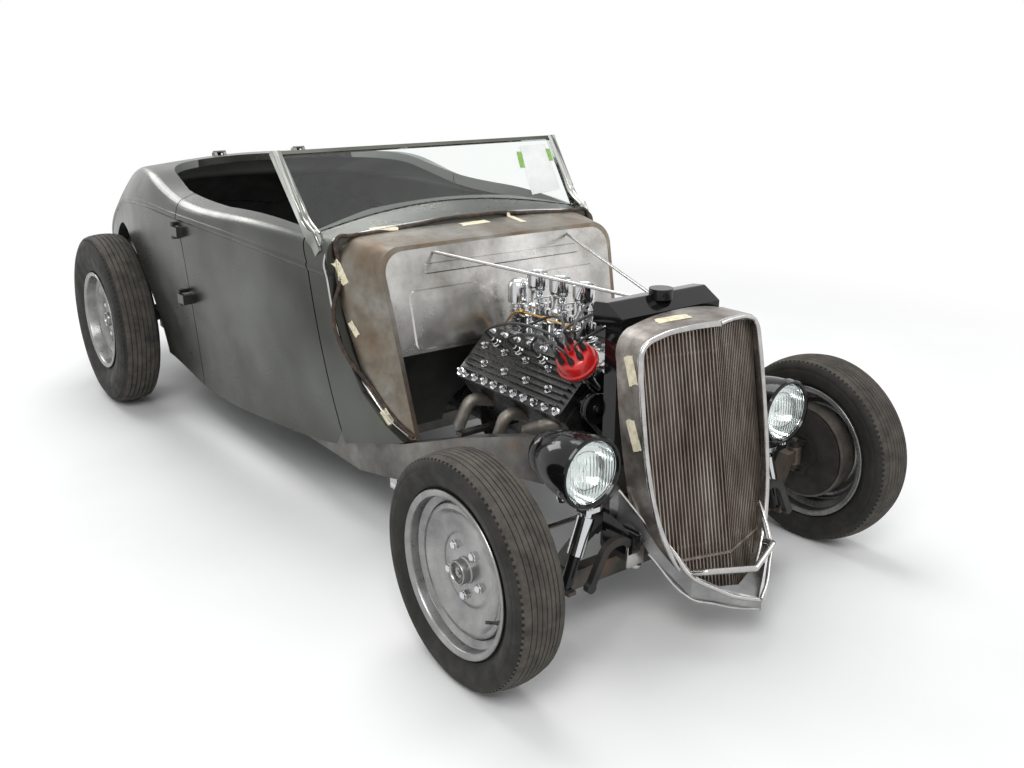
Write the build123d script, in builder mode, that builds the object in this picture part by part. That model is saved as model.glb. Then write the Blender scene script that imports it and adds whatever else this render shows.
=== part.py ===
from build123d import *
import os
from math import atan2, cos, degrees, hypot, pi, radians, sin, tan

# Street rod roadster, bare metal, open engine. Millimetres. The front of the car faces -Y,
# its left side is +X, and the floor is Z = 0. Lengths along the car are given from the front axle.

os.makedirs("parts", exist_ok=True)

# Chassis and stance
WHEELBASE = 2845
TANK_BEHIND_AXLE = 335
TANK_Z = 440
TANK_W = 640
TANK_L = 250
TANK_H = 100
TANK_CORNER = 50
NOSE_REACH = 372
TAIL_REACH = 705
FRONT_TRACK = 1391
REAR_TRACK = 1465
MID_Y = (WHEELBASE + TAIL_REACH - NOSE_REACH) / 2

# Tyres and wheels
FRONT_TYRE_R = 311
FRONT_TYRE_W = 146
REAR_TYRE_R = 389
REAR_TYRE_W = 180
FRONT_RIM_W = 124
REAR_RIM_W = 152
RIM_FLANGE_R = 219
RIM_SEAT_R = 204
RIM_WELL_R = 183
RIM_SHEET = 5
STUD_CIRCLE_R = 69.85
STUD_R = 6
HUB_BORE_R = 16.3
HUB_NOSE_R = 30
HUB_NOSE_END = 30
DRUM_R = 152
DRUM_W = 58
DRUM_SHEET = 7
RUNNING_GAP = 5
PIN_CLEARANCE = 0.3

# Body shell
BODY_WALL = 45
BODY_ROOF = 30
SIDE_BOW = 14
UPPER_BOW = 5
SHOULDER_R = 42
BEAD_HEIGHT = 26
BEAD_RISE = 5
SHUT_GAP = 5.5

# Windshield
POST_BASE = (556, 1084, 990)
POST_TOP = (580, 1278, 1246)
POST_W = 34
POST_D = 20
POST_TOE = 30
POST_TOE_H = 90
HEADER_R = 7
GLASS_T = 6

# Frame
RAIL_W = 50
FIREWALL_LEAN = 13.5
FIREWALL_Z = 650
FIREWALL_Y = 731
FIREWALL_SHEET = 6
PRESSING_RISE = 6
# Pressed panels: centre, height up the panel, width, height, corner
FIREWALL_PANELS = [(-255, 105, 270, 190, 24), (255, 105, 270, 190, 24), (0, 262, 640, 34, 12)]

COLLAR_LEAN = 21.4
FLANGE_SHEET = 16

# Engine
CRANK_Z = 435
ENGINE_FRONT = 165
BLOCK_LENGTH = 525
DECK_HEIGHT = 262
HEAD_T = 46
HEAD_W = 196

# Lamps
LAMP_X = 388
LAMP_FRONT = -111
LAMP_Z = 529
LAMP_R = 100
LAMP_LENGTH = 232
LENS_R = 86

# Body sections: station, sill, belt, shoulder and crown
# y, sill_x, sill_z, belt_x, belt_z, top_x, top_z, crown_z
BODY_SECTIONS = [
    (660, 462, 330, 508, 862, 500, 955, 985),
    (985, 530, 292, 560, 890, 550, 990, 1020),
    (1250, 568, 266, 612, 916, 607, 1002, 1082),
    (1650, 600, 240, 668, 948, 648, 1008, 1125),
    (2050, 612, 236, 689, 959, 664, 1024, 1138),
    (2350, 628, 292, 692, 968, 650, 1085, 1134),
    (2650, 642, 330, 672, 950, 598, 1086, 1118),
    (2950, 606, 352, 622, 895, 556, 1014, 1086),
    (3200, 566, 372, 586, 800, 520, 892, 992),
    (3400, 528, 392, 546, 668, 468, 748, 852),
    (3550, 460, 420, 468, 520, 400, 575, 640),
]
TAIL_INSIDE = (3500, 490, 400, 505, 590, 420, 660, 745)

# Crossmembers: station, height, half-width, depth along the car, height
CROSSMEMBERS = [(6, 424, 232, 60, 70), (1190, 226, 440, 80, 56), (2380, 262, 440, 60, 60), (3004, 505, 425,
                60, 50),
                (3350, 412, 400, 40, 50)]
# Frame: side view of the rails, cut to their plan view, with crossmembers between them
RAIL_TOP = [(-28, 452), (120, 488), (300, 492), (470, 452), (700, 374), (985, 300), (2260, 296),
            (2480, 392), (2640, 540), (3060, 540), (3380, 452)]
RAIL_BOTTOM = [(3380, 372), (3040, 448), (2690, 448), (2540, 300), (2320, 196), (985, 190),
               (700, 248), (470, 322), (300, 366), (120, 368), (-28, 356)]
RAIL_PLAN = [(-28, 252), (120, 270), (300, 338), (560, 442), (760, 478), (2400, 478), (3380, 440)]

# Sides of the car: sign of X and the word in the names
SIDES = ((1, "left"), (-1, "right"))

# Seams of the doors in the side view, and the cockpit opening in plan
DOOR_FRONT_TOP = (1109, 993)
DOOR_FRONT_FOOT = (975, 285)
DOOR_REAR_TOP = (2006, 1040)
DOOR_REAR_BOW = (1972, 760)
DOOR_REAR_FOOT = (2075, 236)
COCKPIT_FRONT = 1168
COCKPIT_REAR = 2560
COCKPIT_SIDE = 538

# Door hinges
HINGE_X = 703
HINGE_Y = 2003
HINGE_ANGLE = 65
HINGE_Z = (640, 905)
HINGE_KNUCKLE = 36
HINGE_EAR = 14
HINGE_R = 8
HINGE_PIN_R = 4
SHUT_X = 560

# Deck lid and its hinges
LID_HINGE_Y = 2757
LID_HINGE_Z = 1122
LID_HINGE_X = 200
LID_HINGE_R = 6
LID_HINGE_ANGLE = 50
LID_KNUCKLE = 30
LID_LEAN = 38
LID_CENTRE = (3130, 1000)
LID_LENGTH = 700
LID_FRONT_X = 420
LID_REAR_X = 370
LID_CORNER = 70

# Side view of the dash panel
DASH_SIDE = [(1120, 872), (1128, 868), (1166, 960), (1166, 1200), (1120, 1200), (1138, 960)]

# Rear wheel wells
WELL_R = 432
WELL_INNER_X = 556
WELL_SHEET = 12
AXLE_SLOT = 75

# Floor and tunnel
FLOOR_SHEET = 10
FLOOR_HALF_W = 474
TUNNEL_R = 150
TUNNEL_Z = 330
# Top of the floor in the side view: toe board, floor, heel board and trunk floor
FLOOR_LINE = [(806, 650), (992, 310.5), (2256, 310.5), (2420, 478), (2640, 550.5), (3300, 550.5)]

# Grille shell
SHELL_LEAN_DY = 110
SHELL_LEAN_DZ = 610
SHELL_V = 0.30
SHELL_NOSE = -163
SHELL_NOSE_Z = 858
SHELL_BACK = 0
SHELL_BEZEL = 15
SHELL_SHEET = 9

# Grille blades and their ties
BLADE_PITCH = 10.4
BLADE_T = 3.4
BLADE_D = 14
BLADE_BACK = 18.3
BLADE_COUNT = 43
TIE_H = 7
TIE_Z = 571
REAR_TIES_Z = (280, 800)

# Front apron and guard bar
APRON_SHEET = 8
APRON_SIDE = [(-NOSE_REACH, 118), (-262, 158), (-170, 238), (-96, 345), (-30, 356), (-30, 452), (-64, 430),
              (-150, 340), (-206, 292), (-262, 224), (-316, 176), (-NOSE_REACH, 146)]
APRON_PLAN = [(0, -NOSE_REACH), (160, -262), (214, -150), (252, -64), (252, -30)]
APRON_PAN = [(-NOSE_REACH, 124), (-262, 160), (-262, 168), (-NOSE_REACH, 132)]
GUARD_R = 9

# Radiator and its support rods
RAD_HALF_W = 203
RAD_BACK = 62
RAD_CORE_T = 50
RAD_TOP = 915
RAD_SHOULDER = 850
RAD_FOOT = 459.3
ROD_R = 5
ROD_START = (FIREWALL_Y + (955 - FIREWALL_Z) * tan(radians(FIREWALL_LEAN)) + FIREWALL_SHEET / 2, 955)

# Engine block, bell housing and gearbox
PAN_HALF_W = 118
PAN_DEPTH = 172
DECK_SHIFT = 95
BELL_R = 178
GEARBOX_BACK = 1260
MOUNT_Y = 490

# Cylinder head fins
FIN_H = 12
FIN_T = 6
FIN_PITCH = 19.5

# Intake and breather
CARB_PITCH = 114
CARB_FRONT = 387
CARB_TOP = 886
MANIFOLD_TOP = 672
BREATHER_X = -20
BREATHER_Y = 690
BREATHER_FOOT = 540

# Exhaust stubs
EXHAUST_R = 20
# Port, bend and mouth of each stub: y, bend x and z, mouth x, y and z
EXHAUST_STUBS = [(232, 254, 538, 254, 340, 480), (410, 282, 520, 300, 430, 430), (600, 282, 515, 312, 622,
                 420)]

# Pulleys: x, z and radius
PULLEYS = [(0, CRANK_Z, 76), (-196, 606, 44), (150, 520, 62)]
PULLEY_FRONT = 92

# Rear axle and springs
TUBE_R = 38
SHAFT_R = 34
REAR_SPRING_Y = CROSSMEMBERS[3][0]
REAR_SPRING_HALF = 430
REAR_SPRING_END = 426
LEAF_T = 8
LEAF_W = 50
BACKING_X = REAR_TRACK / 2 - 8 - DRUM_W - RUNNING_GAP - 4

# Front axle
KINGPIN_X = 585
KINGPIN_R = 10
BOSS_R = 24
BOSS_H = 60
BEAM_Z = 172
BEAM_H = 56
BEAM_D = 40
SPRING_Y = 6
FRONT_SPRING_HALF = 400
FRONT_SPRING_END = 226

# Knuckles and tie rod
EAR_R = 22
EAR_T = 15
PLATE_X = 614
PLATE_T = 8
SPINDLE_R = HUB_BORE_R - PIN_CLEARANCE
BACKING_FACE = FRONT_TRACK / 2 - 8 - DRUM_W - RUNNING_GAP
BACKING_T = 4
ARM_Z = 234
ARM_T = 12
ARM_REACH = 150
TIE_PIN_R = 8
TIE_EYE_R = 17
TIE_R = 8
TIE_Z = ARM_Z + ARM_T + PIN_CLEARANCE
TIE_EYE_H = 18
TIE_SLACK = 1

# Radius rods
RADIUS_ROD_R = 16

# Headlamp bowls, lenses and stands
BOWL_T = 3
LENS_T = 4
LENS_DOME = 10
BOWL_NECK_R = 95
BOWL_END_R = 66
BOWL_BULGE = 9
STAND_R = 11
STAND_Y = 10
STAND_FOOT = (240, 422)
STAND_ELBOW = (358, 400)

# Front shock absorbers
SHOCK_FOOT = (430, -60, BEAM_Z + 20)
SHOCK_HEAD = (356, -60, 404)
# Lever body under the rail's front end, in the side view, and its lever in the front view
LEVER_BACK = SPRING_Y - LEAF_W / 2 - 3
LEVER_TOP = RAIL_BOTTOM[-1][1] - PIN_CLEARANCE
LEVER_BODY = [(-142, 262), (-142, 322), (-100, 345), (-60, LEVER_TOP), (LEVER_BACK, LEVER_TOP),
              (LEVER_BACK, 262)]
LEVER_BODY_X = 238
LEVER_BODY_W = 30
LEVER_LINE = [(268, 300), (312, 322), (366, 286), (404, 214)]
LEVER_W = 22
LEVER_T = 18
LEVER_Y = -128


def across(y):
    """Plane across the car, y behind the front axle; its axes are X and Z."""
    return Plane(origin=(0, y - MID_Y, 0), x_dir=(1, 0, 0), z_dir=(0, -1, 0))


def along(x):
    """Plane along the car at x; its axes are Y from the front axle and Z."""
    return Plane(origin=(x, -MID_Y, 0), x_dir=(0, 1, 0), z_dir=(1, 0, 0))


def level(z):
    """Level plane at z; its axes are X and Y from the front axle."""
    return Plane(origin=(0, -MID_Y, z), x_dir=(1, 0, 0), z_dir=(0, 0, 1))


def at(x, y, z):
    """Point with y measured from the front axle."""
    return Vector(x, y - MID_Y, z)


def leaning(y, z, lean):
    """Plane across the car through (y, z), leaning back by lean degrees as it rises."""
    tilt = radians(lean)
    return Plane(origin=at(0, y, z), x_dir=(1, 0, 0), z_dir=(0, -cos(tilt), sin(tilt)))


def save(piece, name):
    piece.part.label = name
    export_step(piece.part, f"parts/{name}.step")


def body_section(row, inset, roof):
    """One cross-section of the body, set in by inset at the sides and roof at the top."""
    y, sill_x, sill_z, belt_x, belt_z, top_x, top_z, crown_z = row
    half_bead = BEAD_HEIGHT / 2
    rise = 0 if inset else BEAD_RISE
    sill = (sill_x - inset, sill_z - inset)
    low = (belt_x - inset, belt_z - half_bead)
    high = (belt_x - inset, belt_z + half_bead)
    top = (top_x - inset, top_z - roof)
    with BuildSketch(across(y)) as section:
        with BuildLine():
            Line((-sill[0], sill[1]), sill)
            for side in (1, -1):
                ThreePointArc(
                    (side * sill[0], sill[1]),
                    (side * ((sill[0] + low[0]) / 2 + SIDE_BOW), (sill[1] + low[1]) / 2),
                    (side * low[0], low[1]),
                )
                if rise:
                    ThreePointArc(
                        (side * low[0], low[1]),
                        (side * (belt_x + rise), belt_z),
                        (side * high[0], high[1]),
                    )
                else:
                    Line((side * low[0], low[1]), (side * high[0], high[1]))
                ThreePointArc(
                    (side * high[0], high[1]),
                    (side * ((high[0] + top[0]) / 2 + UPPER_BOW), (high[1] + top[1]) / 2),
                    (side * top[0], top[1]),
                )
            ThreePointArc((-top[0], top[1]), (0, crown_z - roof), top)
        make_face()
        if not inset:
            fillet(section.vertices().filter_by(lambda v: abs(abs(v.X) - top[0]) < 1e-6), SHOULDER_R)
    return section.sketch


with BuildPart() as body_outer:
    for row in BODY_SECTIONS:
        add(body_section(row, 0, 0))
    loft()

with BuildPart() as body_inner:
    for row in BODY_SECTIONS[:-1] + [TAIL_INSIDE]:
        add(body_section(row, BODY_WALL, BODY_ROOF))
    loft()


def side_prism(points, half_width):
    """Solid between -half_width and half_width whose side view is the closed polygon of points."""
    with BuildPart() as prism:
        with BuildSketch(along(0)):
            with BuildLine():
                Polyline(*points, close=True)
            make_face()
        extrude(amount=half_width, both=True)
    return prism.part


with BuildPart() as frame:
    with BuildSketch(along(0)) as rail_side:
        with BuildLine():
            Polyline(*RAIL_TOP, *RAIL_BOTTOM, close=True)
        make_face()
    extrude(amount=600, both=True)
    with BuildSketch(level(0)):
        for side in (1, -1):
            with BuildLine():
                outer = [(side * x, y) for y, x in RAIL_PLAN]
                inner = [(side * (x - RAIL_W), y) for y, x in reversed(RAIL_PLAN)]
                Polyline(*outer, *inner, close=True)
            make_face()
    extrude(amount=700, mode=Mode.INTERSECT)
    for y, z, width, depth, height in CROSSMEMBERS:
        with BuildSketch(along(0)):
            with Locations((y, z)):
                Rectangle(depth, height)
        extrude(amount=width, both=True)
save(frame, "frame")


# Wheels: profiles are drawn with the axial offset outwards and the radius, then turned
def wheel_plane(side, x, y, z):
    """Plane through a wheel's axis; its axes are outward and up."""
    return Plane(origin=at(side * x, y, z), x_dir=(side, 0, 0), z_dir=(0, -side, 0))


def wheel_axis(side, x, y, z):
    return Axis(at(side * x, y, z), (1, 0, 0))


def build_tyre(side, x, y, radius, width, name):
    plane = wheel_plane(side, x, y, radius)
    half = width / 2
    tread = half * 0.74
    seat = RIM_SEAT_R + RIM_SHEET / 2 + PIN_CLEARANCE
    flange = half * 0.68
    with BuildPart() as tyre:
        with BuildSketch(plane):
            with BuildLine():
                Line((-flange, seat), (flange, seat))
                Line((flange, seat), (flange, RIM_FLANGE_R + 6))
                ThreePointArc((flange, RIM_FLANGE_R + 6), (half, (radius + RIM_FLANGE_R) / 2 + 4), (tread,
                              radius - 9))
                ThreePointArc((tread, radius - 9), (0, radius), (-tread, radius - 9))
                ThreePointArc((-tread, radius - 9), (-half, (radius + RIM_FLANGE_R) / 2 + 4), (-flange,
                              RIM_FLANGE_R + 6))
                Line((-flange, RIM_FLANGE_R + 6), (-flange, seat))
            make_face()
        revolve(axis=wheel_axis(side, x, y, radius))
    save(tyre, name)


def build_rim(side, x, y, radius, rim_width, with_drum, name):
    plane = wheel_plane(side, x, y, radius)
    axis = wheel_axis(side, x, y, radius)
    half = rim_width / 2
    with BuildPart() as rim:
        with BuildSketch(plane):
            with BuildLine():
                Polyline((-half, RIM_FLANGE_R), (-half + 5, RIM_SEAT_R), (-30, RIM_SEAT_R), (-22, RIM_WELL_R),
                         (22, RIM_WELL_R), (30, RIM_SEAT_R), (half - 5, RIM_SEAT_R), (half, RIM_FLANGE_R))
            trace(line_width=RIM_SHEET)
            with BuildLine():
                Polyline((10, RIM_WELL_R), (26, 176), (28, 164), (14, 146), (8, 104), (14, 90), (14, 30))
            trace(line_width=RIM_SHEET)
            with BuildLine():
                Polyline((-40, HUB_BORE_R), (HUB_NOSE_END, HUB_BORE_R), (HUB_NOSE_END, HUB_NOSE_R),
                         (16.5, HUB_NOSE_R), (16.5, 36), (-40, 36), close=True)
            make_face()
        revolve(axis=axis)
        with BuildSketch(Plane(origin=plane.origin + plane.x_dir * 14, x_dir=(0, 1, 0), z_dir=(side, 0, 0))):
            with PolarLocations(STUD_CIRCLE_R, 5, start_angle=side * 90):
                Circle(STUD_R)
        extrude(amount=20)
        if with_drum:
            with BuildSketch(plane):
                with BuildLine():
                    Polyline((14, 34), (8, 92), (-8, DRUM_R), (-8 - DRUM_W, DRUM_R + 2))
                trace(line_width=DRUM_SHEET)
            revolve(axis=axis)
    save(rim, name)


def build_drum(side, x, y, radius, name):
    plane = wheel_plane(side, x, y, radius)
    face = 14 - RIM_SHEET / 2
    with BuildPart() as drum:
        with BuildSketch(plane):
            with BuildLine():
                Polyline((face, 36.3), (face, 84), (2, 96), (-6, DRUM_R + 2), (-8 - DRUM_W, DRUM_R + 4),
                         (-8 - DRUM_W, DRUM_R - 4), (-12, DRUM_R - 5), (-6, 92), (face - DRUM_SHEET, 36.3),
                         close=True)
            make_face()
        revolve(axis=wheel_axis(side, x, y, radius))
    save(drum, name)


for side, word in SIDES:
    build_tyre(side, FRONT_TRACK / 2, 0, FRONT_TYRE_R, FRONT_TYRE_W, f"front_tyre_{word}")
    build_rim(side, FRONT_TRACK / 2, 0, FRONT_TYRE_R, FRONT_RIM_W, False, f"front_wheel_{word}")
    build_drum(side, FRONT_TRACK / 2, 0, FRONT_TYRE_R, f"front_drum_{word}")
    build_tyre(side, REAR_TRACK / 2, WHEELBASE, REAR_TYRE_R, REAR_TYRE_W, f"rear_tyre_{word}")
    build_rim(side, REAR_TRACK / 2, WHEELBASE, REAR_TYRE_R, REAR_RIM_W, True, f"rear_wheel_{word}")


# Seams in the side view


def seam_on(a, b, z):
    """Station where the line through a and b reaches height z."""
    return a[0] + (b[0] - a[0]) * (z - a[1]) / (b[1] - a[1])


def rail_top_at(y):
    """Height of the rail's top at a station."""
    for (y0, z0), (y1, z1) in zip(RAIL_TOP, RAIL_TOP[1:]):
        if y0 <= y <= y1:
            return z0 + (z1 - z0) * (y - y0) / (y1 - y0)


half_gap = SHUT_GAP / 2
door_front_low = (seam_on(DOOR_FRONT_TOP, DOOR_FRONT_FOOT, 100), 100)
door_front_high = (seam_on(DOOR_FRONT_TOP, DOOR_FRONT_FOOT, 1300), 1300)


def ahead_of_seam(shift):
    """Side view of everything ahead of the doors' rear seam."""
    with BuildSketch(along(-900)) as area:
        with BuildLine():
            foot = (DOOR_REAR_FOOT[0] + shift, DOOR_REAR_FOOT[1])
            top = (DOOR_REAR_TOP[0] + shift, DOOR_REAR_TOP[1])
            ThreePointArc(foot, (DOOR_REAR_BOW[0] + shift, DOOR_REAR_BOW[1]), top)
            Polyline(top, (top[0], 1300), (0, 1300), (0, 100), (foot[0], 100), foot)
        make_face()
    return area.sketch


def behind_seam(shift):
    """Side view of everything behind the doors' rear seam."""
    with BuildSketch(along(-900)) as area:
        with BuildLine():
            foot = (DOOR_REAR_FOOT[0] + shift, DOOR_REAR_FOOT[1])
            top = (DOOR_REAR_TOP[0] + shift, DOOR_REAR_TOP[1])
            ThreePointArc(foot, (DOOR_REAR_BOW[0] + shift, DOOR_REAR_BOW[1]), top)
            Polyline(top, (top[0], 1300), (4000, 1300), (4000, 100), (foot[0], 100), foot)
        make_face()
    return area.sketch


def side_area(sketch):
    with BuildPart() as block:
        extrude(sketch, amount=1800, dir=(1, 0, 0))
    return block.part


# Door hinges stand outside the skin on an upright axis behind the rear seam
shut_skew = (HINGE_X - BODY_SECTIONS[1][1] + BODY_WALL / 2) / (HINGE_Y - DOOR_FRONT_FOOT[0]) + 0.01


def shut_prism(points):
    """Side view of points as a solid whose ends run square to the doors' swing."""
    with BuildPart() as prism:
        for side in (1, -1):
            with BuildSketch(along(side * SHUT_X)) as view:
                with BuildLine():
                    Polyline(*points, close=True)
                make_face()
            extrude(amount=SHUT_X * hypot(1, shut_skew), dir=(-side, shut_skew, 0))
            extrude(view.sketch, amount=400, dir=(side, -shut_skew, 0))
    return prism.part


def door_leaf(side, z):
    """Door's half of a hinge: a knuckle with an arm to a foot on the skin."""
    with BuildPart() as leaf:
        with BuildSketch(level(z - HINGE_KNUCKLE / 2)):
            with BuildLine():
                arm = HINGE_X - HINGE_R + 2
                Polyline((side * (HINGE_X + HINGE_R), HINGE_Y), (side * (HINGE_X + HINGE_R), HINGE_Y - 62),
                         (side * (HINGE_X - 48), HINGE_Y - 62), (side * (HINGE_X - 48), HINGE_Y - 40),
                         (side * arm, HINGE_Y - 40), (side * arm, HINGE_Y), close=True)
            make_face()
            with Locations((side * HINGE_X, HINGE_Y)):
                Circle(HINGE_R)
                Circle(HINGE_PIN_R + PIN_CLEARANCE, mode=Mode.SUBTRACT)
        extrude(amount=HINGE_KNUCKLE)
    return leaf.part


def body_ears(side, z):
    """Body's half of a hinge: two ears and the pin between them."""
    half = HINGE_KNUCKLE / 2 + PIN_CLEARANCE
    with BuildPart() as ears:
        for low in (z + half, z - half - HINGE_EAR):
            with BuildSketch(level(low)):
                with Locations((side * HINGE_X, HINGE_Y)):
                    Circle(HINGE_R)
                with Locations((side * (HINGE_X - 24), HINGE_Y)):
                    Rectangle(48, 2 * HINGE_R)
            extrude(amount=HINGE_EAR)
        with BuildSketch(level(z - half)):
            with Locations((side * HINGE_X, HINGE_Y)):
                Circle(HINGE_PIN_R)
        extrude(amount=2 * half)
    return ears.part


# Deck lid hinges: an axis across the car above the lid's front edge


def lid_leaf(x):
    """Lid's half of a hinge, let into the lid's front edge."""
    with BuildPart() as leaf:
        with BuildSketch(along(x - LID_KNUCKLE / 2)):
            with BuildLine():
                Polyline((LID_HINGE_Y, LID_HINGE_Z + LID_HINGE_R), (LID_HINGE_Y + 58, LID_HINGE_Z - 8),
                         (LID_HINGE_Y + 58, LID_HINGE_Z - 32), (LID_HINGE_Y + 26, LID_HINGE_Z - 32),
                         (LID_HINGE_Y + 18, LID_HINGE_Z - LID_HINGE_R), (LID_HINGE_Y,
                                                                         LID_HINGE_Z - LID_HINGE_R),
                         close=True)
            make_face()
            with Locations((LID_HINGE_Y, LID_HINGE_Z)):
                Circle(LID_HINGE_R)
                Circle(LID_HINGE_R / 2 + PIN_CLEARANCE, mode=Mode.SUBTRACT)
        extrude(amount=LID_KNUCKLE)
    return leaf.part


def lid_ears(x):
    """Body's half of a lid hinge."""
    half = LID_KNUCKLE / 2 + PIN_CLEARANCE
    with BuildPart() as ears:
        for low in (x + half, x - half - HINGE_EAR):
            with BuildSketch(along(low)):
                with Locations((LID_HINGE_Y, LID_HINGE_Z)):
                    Circle(LID_HINGE_R)
                with BuildLine():
                    Polyline((LID_HINGE_Y - LID_HINGE_R, LID_HINGE_Z), (LID_HINGE_Y + LID_HINGE_R,
                             LID_HINGE_Z),
                             (LID_HINGE_Y - 8, LID_HINGE_Z - 32), (LID_HINGE_Y - 34, LID_HINGE_Z - 32),
                             close=True)
                make_face()
            extrude(amount=HINGE_EAR)
        with BuildSketch(along(x - half)):
            with Locations((LID_HINGE_Y, LID_HINGE_Z)):
                Circle(LID_HINGE_R / 2)
        extrude(amount=2 * half)
    return ears.part


# Deck lid, cut square to a plane that leans with the deck
lid_plane = Plane(origin=at(0, *LID_CENTRE), x_dir=(1, 0, 0),
                  z_dir=(0, sin(radians(LID_LEAN)), cos(radians(LID_LEAN))))


def lid_block(inset):
    """Block through the deck with the lid's outline, set in all round by inset."""
    half = LID_LENGTH / 2
    with BuildPart() as block:
        with BuildSketch(lid_plane):
            with BuildLine():
                Polyline((-LID_FRONT_X, -half), (LID_FRONT_X, -half), (LID_REAR_X, half), (-LID_REAR_X, half),
                         close=True)
            face = make_face()
            fillet(face.vertices(), LID_CORNER)
            if inset:
                offset(amount=-inset, mode=Mode.REPLACE)
        extrude(amount=400, both=True)
    return block.part


# The rail's top line carries the cowl
cowl_foot_back = DOOR_FRONT_FOOT[0] + 3 - half_gap
cowl_foot = (cowl_foot_back, rail_top_at(cowl_foot_back))
strip = [(672, 381), (700, 392), (762, 430), (852, 520), (912, 640), (955, 760), (982, 880)]


def ring(plane, foot_x, foot_v, top_x, top_v, crown, corner, inset):
    """Closed outline of the nose flange in its plane, set in by inset."""
    with BuildSketch(plane) as outline:
        with BuildLine():
            Line((-foot_x + inset, foot_v), (foot_x - inset, foot_v))
            Line((foot_x - inset, foot_v), (top_x - inset, top_v - inset))
            ThreePointArc((top_x - inset, top_v - inset), (0, top_v + crown - inset), (-top_x + inset,
                          top_v - inset))
            Line((-top_x + inset, top_v - inset), (-foot_x + inset, foot_v))
        make_face()
        corners = outline.vertices().filter_by(lambda v: v.Y > 0)
        fillet(corners, corner - inset / 2)
    return outline.sketch


firewall_plane = leaning(FIREWALL_Y, FIREWALL_Z, FIREWALL_LEAN)
rise = 1 / cos(radians(FIREWALL_LEAN))
collar_plane = leaning(905, FIREWALL_Z, COLLAR_LEAN)


def nose_solid(inset):
    with BuildPart() as nose:
        add(ring(firewall_plane, 440, -300 * rise, 479, (982 - FIREWALL_Z) * rise, 6, 78, inset))
        add(ring(collar_plane, 490, -340, 550, 372, 22, 90, inset))
        loft(ruled=True)
    return nose.part


# Side view of the dash panel

# Cockpit opening in plan
with BuildPart() as cockpit_cut:
    with BuildSketch(level(860)):
        with BuildLine():
            Polyline((0, COCKPIT_FRONT), (COCKPIT_SIDE, COCKPIT_FRONT), (COCKPIT_SIDE + 60, 1660),
                     (COCKPIT_SIDE + 64, 2060), (COCKPIT_SIDE + 30, 2300))
            ThreePointArc((COCKPIT_SIDE + 30, 2300), (470, 2490), (0, COCKPIT_REAR))
            mirror(about=Plane.YZ)
        make_face()
    extrude(amount=500)

# Flange that steps in from the cowl's front edge to the firewall
with BuildPart() as nose_flange:
    add(nose_solid(0))
    add(body_outer.part, mode=Mode.INTERSECT)
    add(nose_solid(FLANGE_SHEET), mode=Mode.SUBTRACT)

# Dash panel under the windshield
with BuildPart() as dash_panel:
    add(body_outer.part)
    with BuildSketch(along(0)):
        with BuildLine():
            Polyline(*DASH_SIDE, close=True)
        make_face()
    extrude(amount=900, both=True, mode=Mode.INTERSECT)

with BuildPart() as cowl:
    add(body_outer.part)
    with BuildSketch(along(0)):
        with BuildLine():
            Polyline(*strip, (985, 1010), (970, 1300), (600, 1300), (600, 381), close=True)
        make_face()
    extrude(amount=900, both=True, mode=Mode.SUBTRACT)
    add(body_inner.part, mode=Mode.SUBTRACT)
    add(nose_flange.part)
    add(dash_panel.part)
    add(cockpit_cut.part, mode=Mode.SUBTRACT)
    add(shut_prism([(600, rail_top_at(600) + PIN_CLEARANCE), RAIL_TOP[4], cowl_foot,
                    (door_front_high[0] - half_gap, 1300), (600, 1300)]), mode=Mode.INTERSECT)
save(cowl, "cowl")


# Wheel wells of the rear body

with BuildPart() as well_walls:
    with BuildSketch(along(0)):
        with Locations((WHEELBASE, REAR_TYRE_R)):
            Circle(WELL_R + WELL_SHEET)
    extrude(amount=700, both=True)
    with BuildSketch(along(0)):
        with Locations((WHEELBASE, REAR_TYRE_R)):
            Circle(WELL_R + 2 * WELL_SHEET)
    extrude(amount=WELL_INNER_X - WELL_SHEET, both=True, mode=Mode.SUBTRACT)
    add(body_outer.part, mode=Mode.INTERSECT)

with BuildPart() as rear_body:
    add(body_outer.part)
    add(body_inner.part, mode=Mode.SUBTRACT)
    add(well_walls.part)
    for side in (1, -1):
        with BuildSketch(along(side * WELL_INNER_X)):
            with Locations((WHEELBASE, REAR_TYRE_R)):
                Circle(WELL_R)
        extrude(amount=side * 300, mode=Mode.SUBTRACT)
    with BuildSketch(along(0)):
        with Locations((WHEELBASE, 330)):
            Rectangle(2 * AXLE_SLOT, 400)
    extrude(amount=900, both=True, mode=Mode.SUBTRACT)
    add(cockpit_cut.part, mode=Mode.SUBTRACT)
    add(side_area(ahead_of_seam(half_gap)), mode=Mode.SUBTRACT)
    add(lid_block(0), mode=Mode.SUBTRACT)
    for side in (1, -1):
        add(lid_ears(side * LID_HINGE_X))
        for z in HINGE_Z:
            add(body_ears(side, z))
save(rear_body, "rear_body")

with BuildPart() as deck_lid:
    add(body_outer.part)
    add(body_inner.part, mode=Mode.SUBTRACT)
    add(lid_block(SHUT_GAP), mode=Mode.INTERSECT)
    for side in (1, -1):
        add(lid_leaf(side * LID_HINGE_X))
save(deck_lid, "deck_lid")

front_top = (door_front_high[0] + half_gap, door_front_high[1])
front_foot = (door_front_low[0] + half_gap, door_front_low[1])
with BuildPart() as door_pair:
    add(body_outer.part)
    add(body_inner.part, mode=Mode.SUBTRACT)
    add(cockpit_cut.part, mode=Mode.SUBTRACT)
    add(shut_prism([front_foot, front_top, (0, 1300), (0, 100)]), mode=Mode.SUBTRACT)
    add(side_area(behind_seam(-half_gap)), mode=Mode.SUBTRACT)
    with BuildSketch(across(0)):
        Rectangle(2 * COCKPIT_SIDE, 3000)
    extrude(amount=-4000, mode=Mode.SUBTRACT)

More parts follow.
